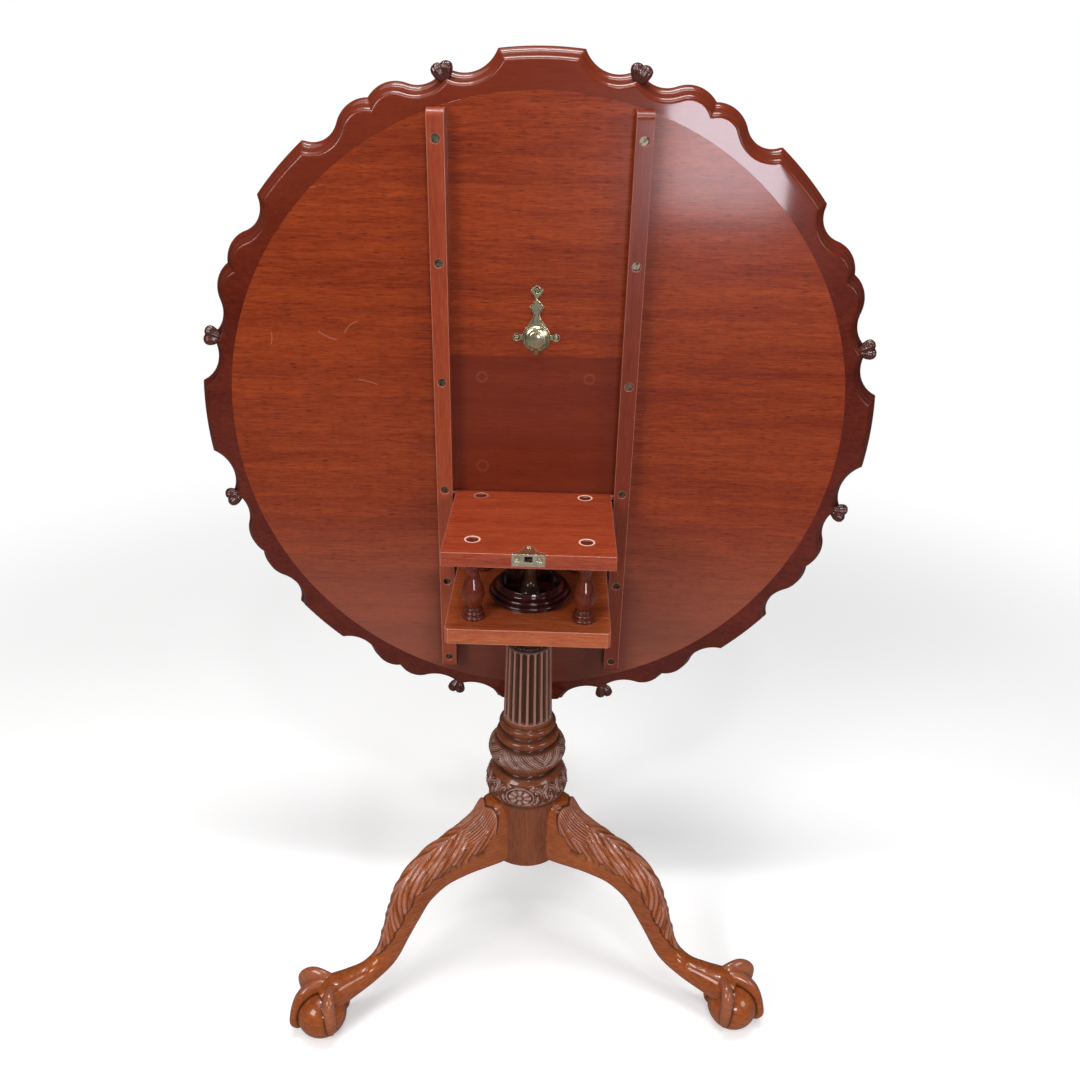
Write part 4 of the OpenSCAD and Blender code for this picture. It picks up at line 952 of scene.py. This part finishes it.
# each leg's angle, and the side of it that the front toe stands on
for node, angle, far in (("leg_left", -150 + BASE_TURN, -1), ("leg_right", -30 + BASE_TURN, 1),
                         ("leg_back", 90 + BASE_TURN, 1)):
    leg = Bodies()
    leg.add(leg_points, leg_faces)
    toes = [toe_mesh(FRONT_TOE, far), toe_mesh(FAR_TOE, far), toe_mesh(NEAR_TOE, -far),
            toe_mesh(REAR_TOE, 1)]
    # painted shade on the ball where a toe lies on it
    ball, ball_faces = ball_mesh()
    leg.add(ball, ball_faces)
    toe_points = np.concatenate([tv for tv, _tf in toes])
    tree = KDTree(len(toe_points))
    for j, q in enumerate(toe_points):
        tree.insert(q, j)
    tree.balance()
    near = np.array([tree.find(q)[2] for q in ball])
    hollows = [leg_hollow, np.clip(1.15 - near / 3.0, 0, 1) * 0.95]
    highlights = [leg_highlight, np.zeros(len(ball))]
    for tv, tf in toes:
        tv[:, 2] = np.maximum(tv[:, 2], 0.05)
        leg.add(tv, tf)
        # painted shade low on each toe, where it meets the ball, and a painted highlight on its
        # raised parts
        rise = np.linalg.norm(tv - (FOOT_OUT, 0, BALL_Z), axis=1) - BALL_R
        hollows.append(np.clip(0.8 - rise / 5.0, 0, 1))
        highlights.append(np.clip(rise / 16 - 0.55, 0, 0.3))
    p = leg.all_points()
    w = p.copy()
    w[:, 0] = p[:, 0] * cosd(angle) - p[:, 1] * sind(angle)
    w[:, 1] = p[:, 0] * sind(angle) + p[:, 1] * cosd(angle)
    piece(node + "_carved", w, leg.faces, "base", [node], M_LEG, sharp=None,
          shade_and_grime=np.concatenate(hollows), ridge=np.concatenate(highlights))

# ---------------------------------------------------------------- catch

EAR_UP, SHIELD_R = 117.5, 16.5      # up the top from its middle, and the shield's radius
DIAMOND_UP = 154.0


def flat_plate(outline, z0, z1, inset=0.7):
    """A plate from a closed outline, its upper edge chamfered."""
    o = np.array(outline, float)
    nrm = np.roll(o, -1, 0) - np.roll(o, 1, 0)
    nrm = np.stack([nrm[:, 1], -nrm[:, 0]], -1)
    nrm /= np.linalg.norm(nrm, axis=1)[:, None]
    n = len(o)
    v = np.concatenate([np.column_stack([xy, np.full(n, z)]) for xy, z in
                        ((o, z0), (o, z1 - inset), (o - nrm * inset, z1))])
    f = grid_faces(3, n, wrap_m=True).tolist()
    return v, f + [[2 * n + j for j in range(n)], list(range(n - 1, -1, -1))]


def dome(cy, z0, r, h, grooves, n=20, m=72):
    """A dome over (0, cy) with round grooves, each given by radius, width and depth."""
    t = np.linspace(0, 1, n) * np.pi / 2
    ph = np.linspace(0, 2 * np.pi, m, endpoint=False)
    rr = r * np.sin(t)
    z = z0 + h * np.cos(t)
    for at, width, deep in grooves:
        z = z - deep * np.exp(-((rr - at) / width) ** 2)
    x = rr[:, None] * np.cos(ph)[None]
    y = cy + rr[:, None] * np.sin(ph)[None]
    p = np.stack([x, y, np.broadcast_to(z[:, None], x.shape)], -1)
    return p.reshape(-1, 3), grid_faces(n, m, wrap_m=True)


pear = [(SHIELD_R * cosd(a), EAR_UP + SHIELD_R * sind(a)) for a in range(-210, 31, 6)]
pear += [(11.0, EAR_UP + 11.5), (7.4, EAR_UP + 15.5), (4.8, EAR_UP + 20),
         (3.0, DIAMOND_UP - 11), (2.6, DIAMOND_UP - 8), (5.2, DIAMOND_UP - 4.2),
         (8.3, DIAMOND_UP), (4.4, DIAMOND_UP + 5), (0, DIAMOND_UP + 9.6)]
pear += [(-x, y) for x, y in reversed(pear[-9:-1])]
shield = Bodies()
shield.add(*flat_plate(pear, 1.7, 3.7))
shield.add(*dome(EAR_UP, 3.3, SHIELD_R - 2.2, 4.4, ((9.0, 0.8, 0.5), (5.0, 0.8, 0.5))))
piece("catch_shield", on_top(shield.all_points()), shield.faces, "bolt", ["catch_bolt"],
      M_AGED, sharp=35)
tongue = np.array([(x, y, z) for x in (-2.6, 2.6) for y in (98.0, 104.0) for z in (4.2, 7.4)])
box_faces = [[0, 1, 3, 2], [4, 6, 7, 5], [0, 4, 5, 1], [2, 3, 7, 6], [0, 2, 6, 4], [1, 5, 7, 3]]
# the bolt's nose is darkened as painted shade, to read as the shade under the shield
piece("catch_tongue", on_top(tongue), box_faces, "bolt", [], M_SHADED_BRASS, sharp=35)

# ---------------------------------------------------------------- finish on the CAD nodes

FINISH = {"top_board": M_BOARD, "batten_left": M_BATTEN_LIT, "batten_right": M_BATTEN_SHADED,
          "upper_block": M_BLOCK, "lower_block": M_LOWER, "batten_screws": M_STEEL,
          "strike_plate": M_BRASS, "strike_screws": M_BRASS, "catch_plate": M_AGED,
          "catch_screws": M_AGED, "catch_spring": M_STEEL, "collar_wedge": M_COLLAR}
for name, mat in FINISH.items():
    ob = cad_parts[name]
    ob.data.materials.clear()
    ob.data.materials.append(mat)

# ---------------------------------------------------------------- studio

FLOOR_GLOW = 0.31           # light that the floor seems to give off, for the camera only
FLOOR_PALE, FLOOR_DULL = (0.86, 0.86, 0.86), (0.24, 0.24, 0.24)     # the second in reflections
FADE_FROM, FADE_TO = 1.0, 2.2       # the floor turns to plain white over these metres
AMBIENT = 0.1               # the world's strength, except straight into the camera
fm = bpy.data.materials.new("pale floor")
k = Net(fm)
out = k.add("ShaderNodeOutputMaterial")
dif = k.add("ShaderNodeBsdfDiffuse")
em = k.add("ShaderNodeEmission")
lp = k.add("ShaderNodeLightPath")
k.link(k.mix(lp.outputs["Is Glossy Ray"], FLOOR_PALE, FLOOR_DULL), dif.inputs["Color"])
x, y, z = k.xyz(k.object_coords())
cam_ray = lp.outputs["Is Camera Ray"]
k.link(k.times(cam_ray, FLOOR_GLOW), em.inputs["Strength"])
add = k.add("ShaderNodeAddShader")
k.link(dif.outputs[0], add.inputs[0])
k.link(em.outputs[0], add.inputs[1])
white = k.add("ShaderNodeEmission")
fade = k.add("ShaderNodeMixShader")
k.link(k.times(cam_ray, k.step(k.length(x, y), FADE_FROM, FADE_TO)), fade.inputs[0])
k.link(add.outputs[0], fade.inputs[1])
k.link(white.outputs[0], fade.inputs[2])
k.link(fade.outputs[0], out.inputs[0])
me = bpy.data.meshes.new("floor")
me.from_pydata([(-9, -9, 0), (9, -9, 0), (9, 9, 0), (-9, 9, 0)], [], [(0, 1, 2, 3)])
floor = bpy.data.objects.new("floor", me)
sc.collection.objects.link(floor)
me.materials.append(fm)

sc.world = bpy.data.worlds.new("studio")
k = Net(sc.world)
out = k.add("ShaderNodeOutputWorld")
bg = k.add("ShaderNodeBackground")
bg.inputs["Color"].default_value = (1, 1, 1, 1)
cam_ray = k.add("ShaderNodeLightPath").outputs["Is Camera Ray"]
k.link(k.math("ADD", k.times(cam_ray, 1 - AMBIENT), AMBIENT), bg.inputs["Strength"])
k.link(bg.outputs[0], out.inputs[0])


def area(name, pos, target, size, power, size_y=None, colour=(1, 1, 1)):
    li = bpy.data.lights.new(name, "AREA")
    li.energy = power
    li.color = colour
    li.size = size
    if size_y:
        li.shape = "RECTANGLE"
        li.size_y = size_y
    ob = bpy.data.objects.new(name, li)
    sc.collection.objects.link(ob)
    ob.location = pos
    ob.rotation_mode = "QUATERNION"
    ob.rotation_quaternion = (Vector(target) - Vector(pos)).to_track_quat("-Z", "Y")


area("key", (-1.9, -2.3, 2.2), (0, 0, 0.7), 1.3, 58, colour=(1, 0.97, 0.94))
area("fill", (2.3, -1.5, 1.7), (0, 0, 0.6), 1.0, 20)
area("over", (-0.3, -0.3, 3.0), (0, 0, 0.4), 1.8, 20)
area("strip", (0, -0.12, 2.7), (0, 0.02, 1.0), 1.1, 19, size_y=0.20)
area("spark", (0.25, -1.5, 2.7), (0, 0, 0.5), 0.24, 8)
area("window", (0.55, -2.1, 1.0), (0.16, 0, 0.95), 0.40, 12, size_y=0.42,
     colour=(0.95, 0.90, 1.0))

# ---------------------------------------------------------------- camera

FRAME = 1080                        # side of the frame; FOCAL and CENTRE use the same unit
FOCAL, CENTRE_X, CENTRE_Y = 961.7, 521.62, 570.26
CAMERA_AT = (0.02737, -1.07793, 1.19986)
CAMERA_TURN = (27.529, 2.174, 1.208)    # axis of the camera's turn, its length in degrees
SENSOR = 36

turn = Vector([math.radians(v) for v in CAMERA_TURN])
look = (Matrix.Rotation(turn.length, 3, turn.normalized())
        @ Matrix(((1, 0, 0), (0, 0, -1), (0, 1, 0))))
right, down, ahead = look
cam = bpy.data.cameras.new("camera")
co = bpy.data.objects.new("camera", cam)
sc.collection.objects.link(co)
sc.camera = co
co.matrix_world = Matrix([(right[i], -down[i], -ahead[i], CAMERA_AT[i]) for i in range(3)]
                         + [(0, 0, 0, 1)])
cam.sensor_width = SENSOR
cam.lens = FOCAL / FRAME * SENSOR
cam.shift_x = (FRAME / 2 - CENTRE_X) / FRAME
cam.shift_y = (CENTRE_Y - FRAME / 2) / FRAME
cam.clip_start = 0.01
sc.view_settings.view_transform = "Standard"
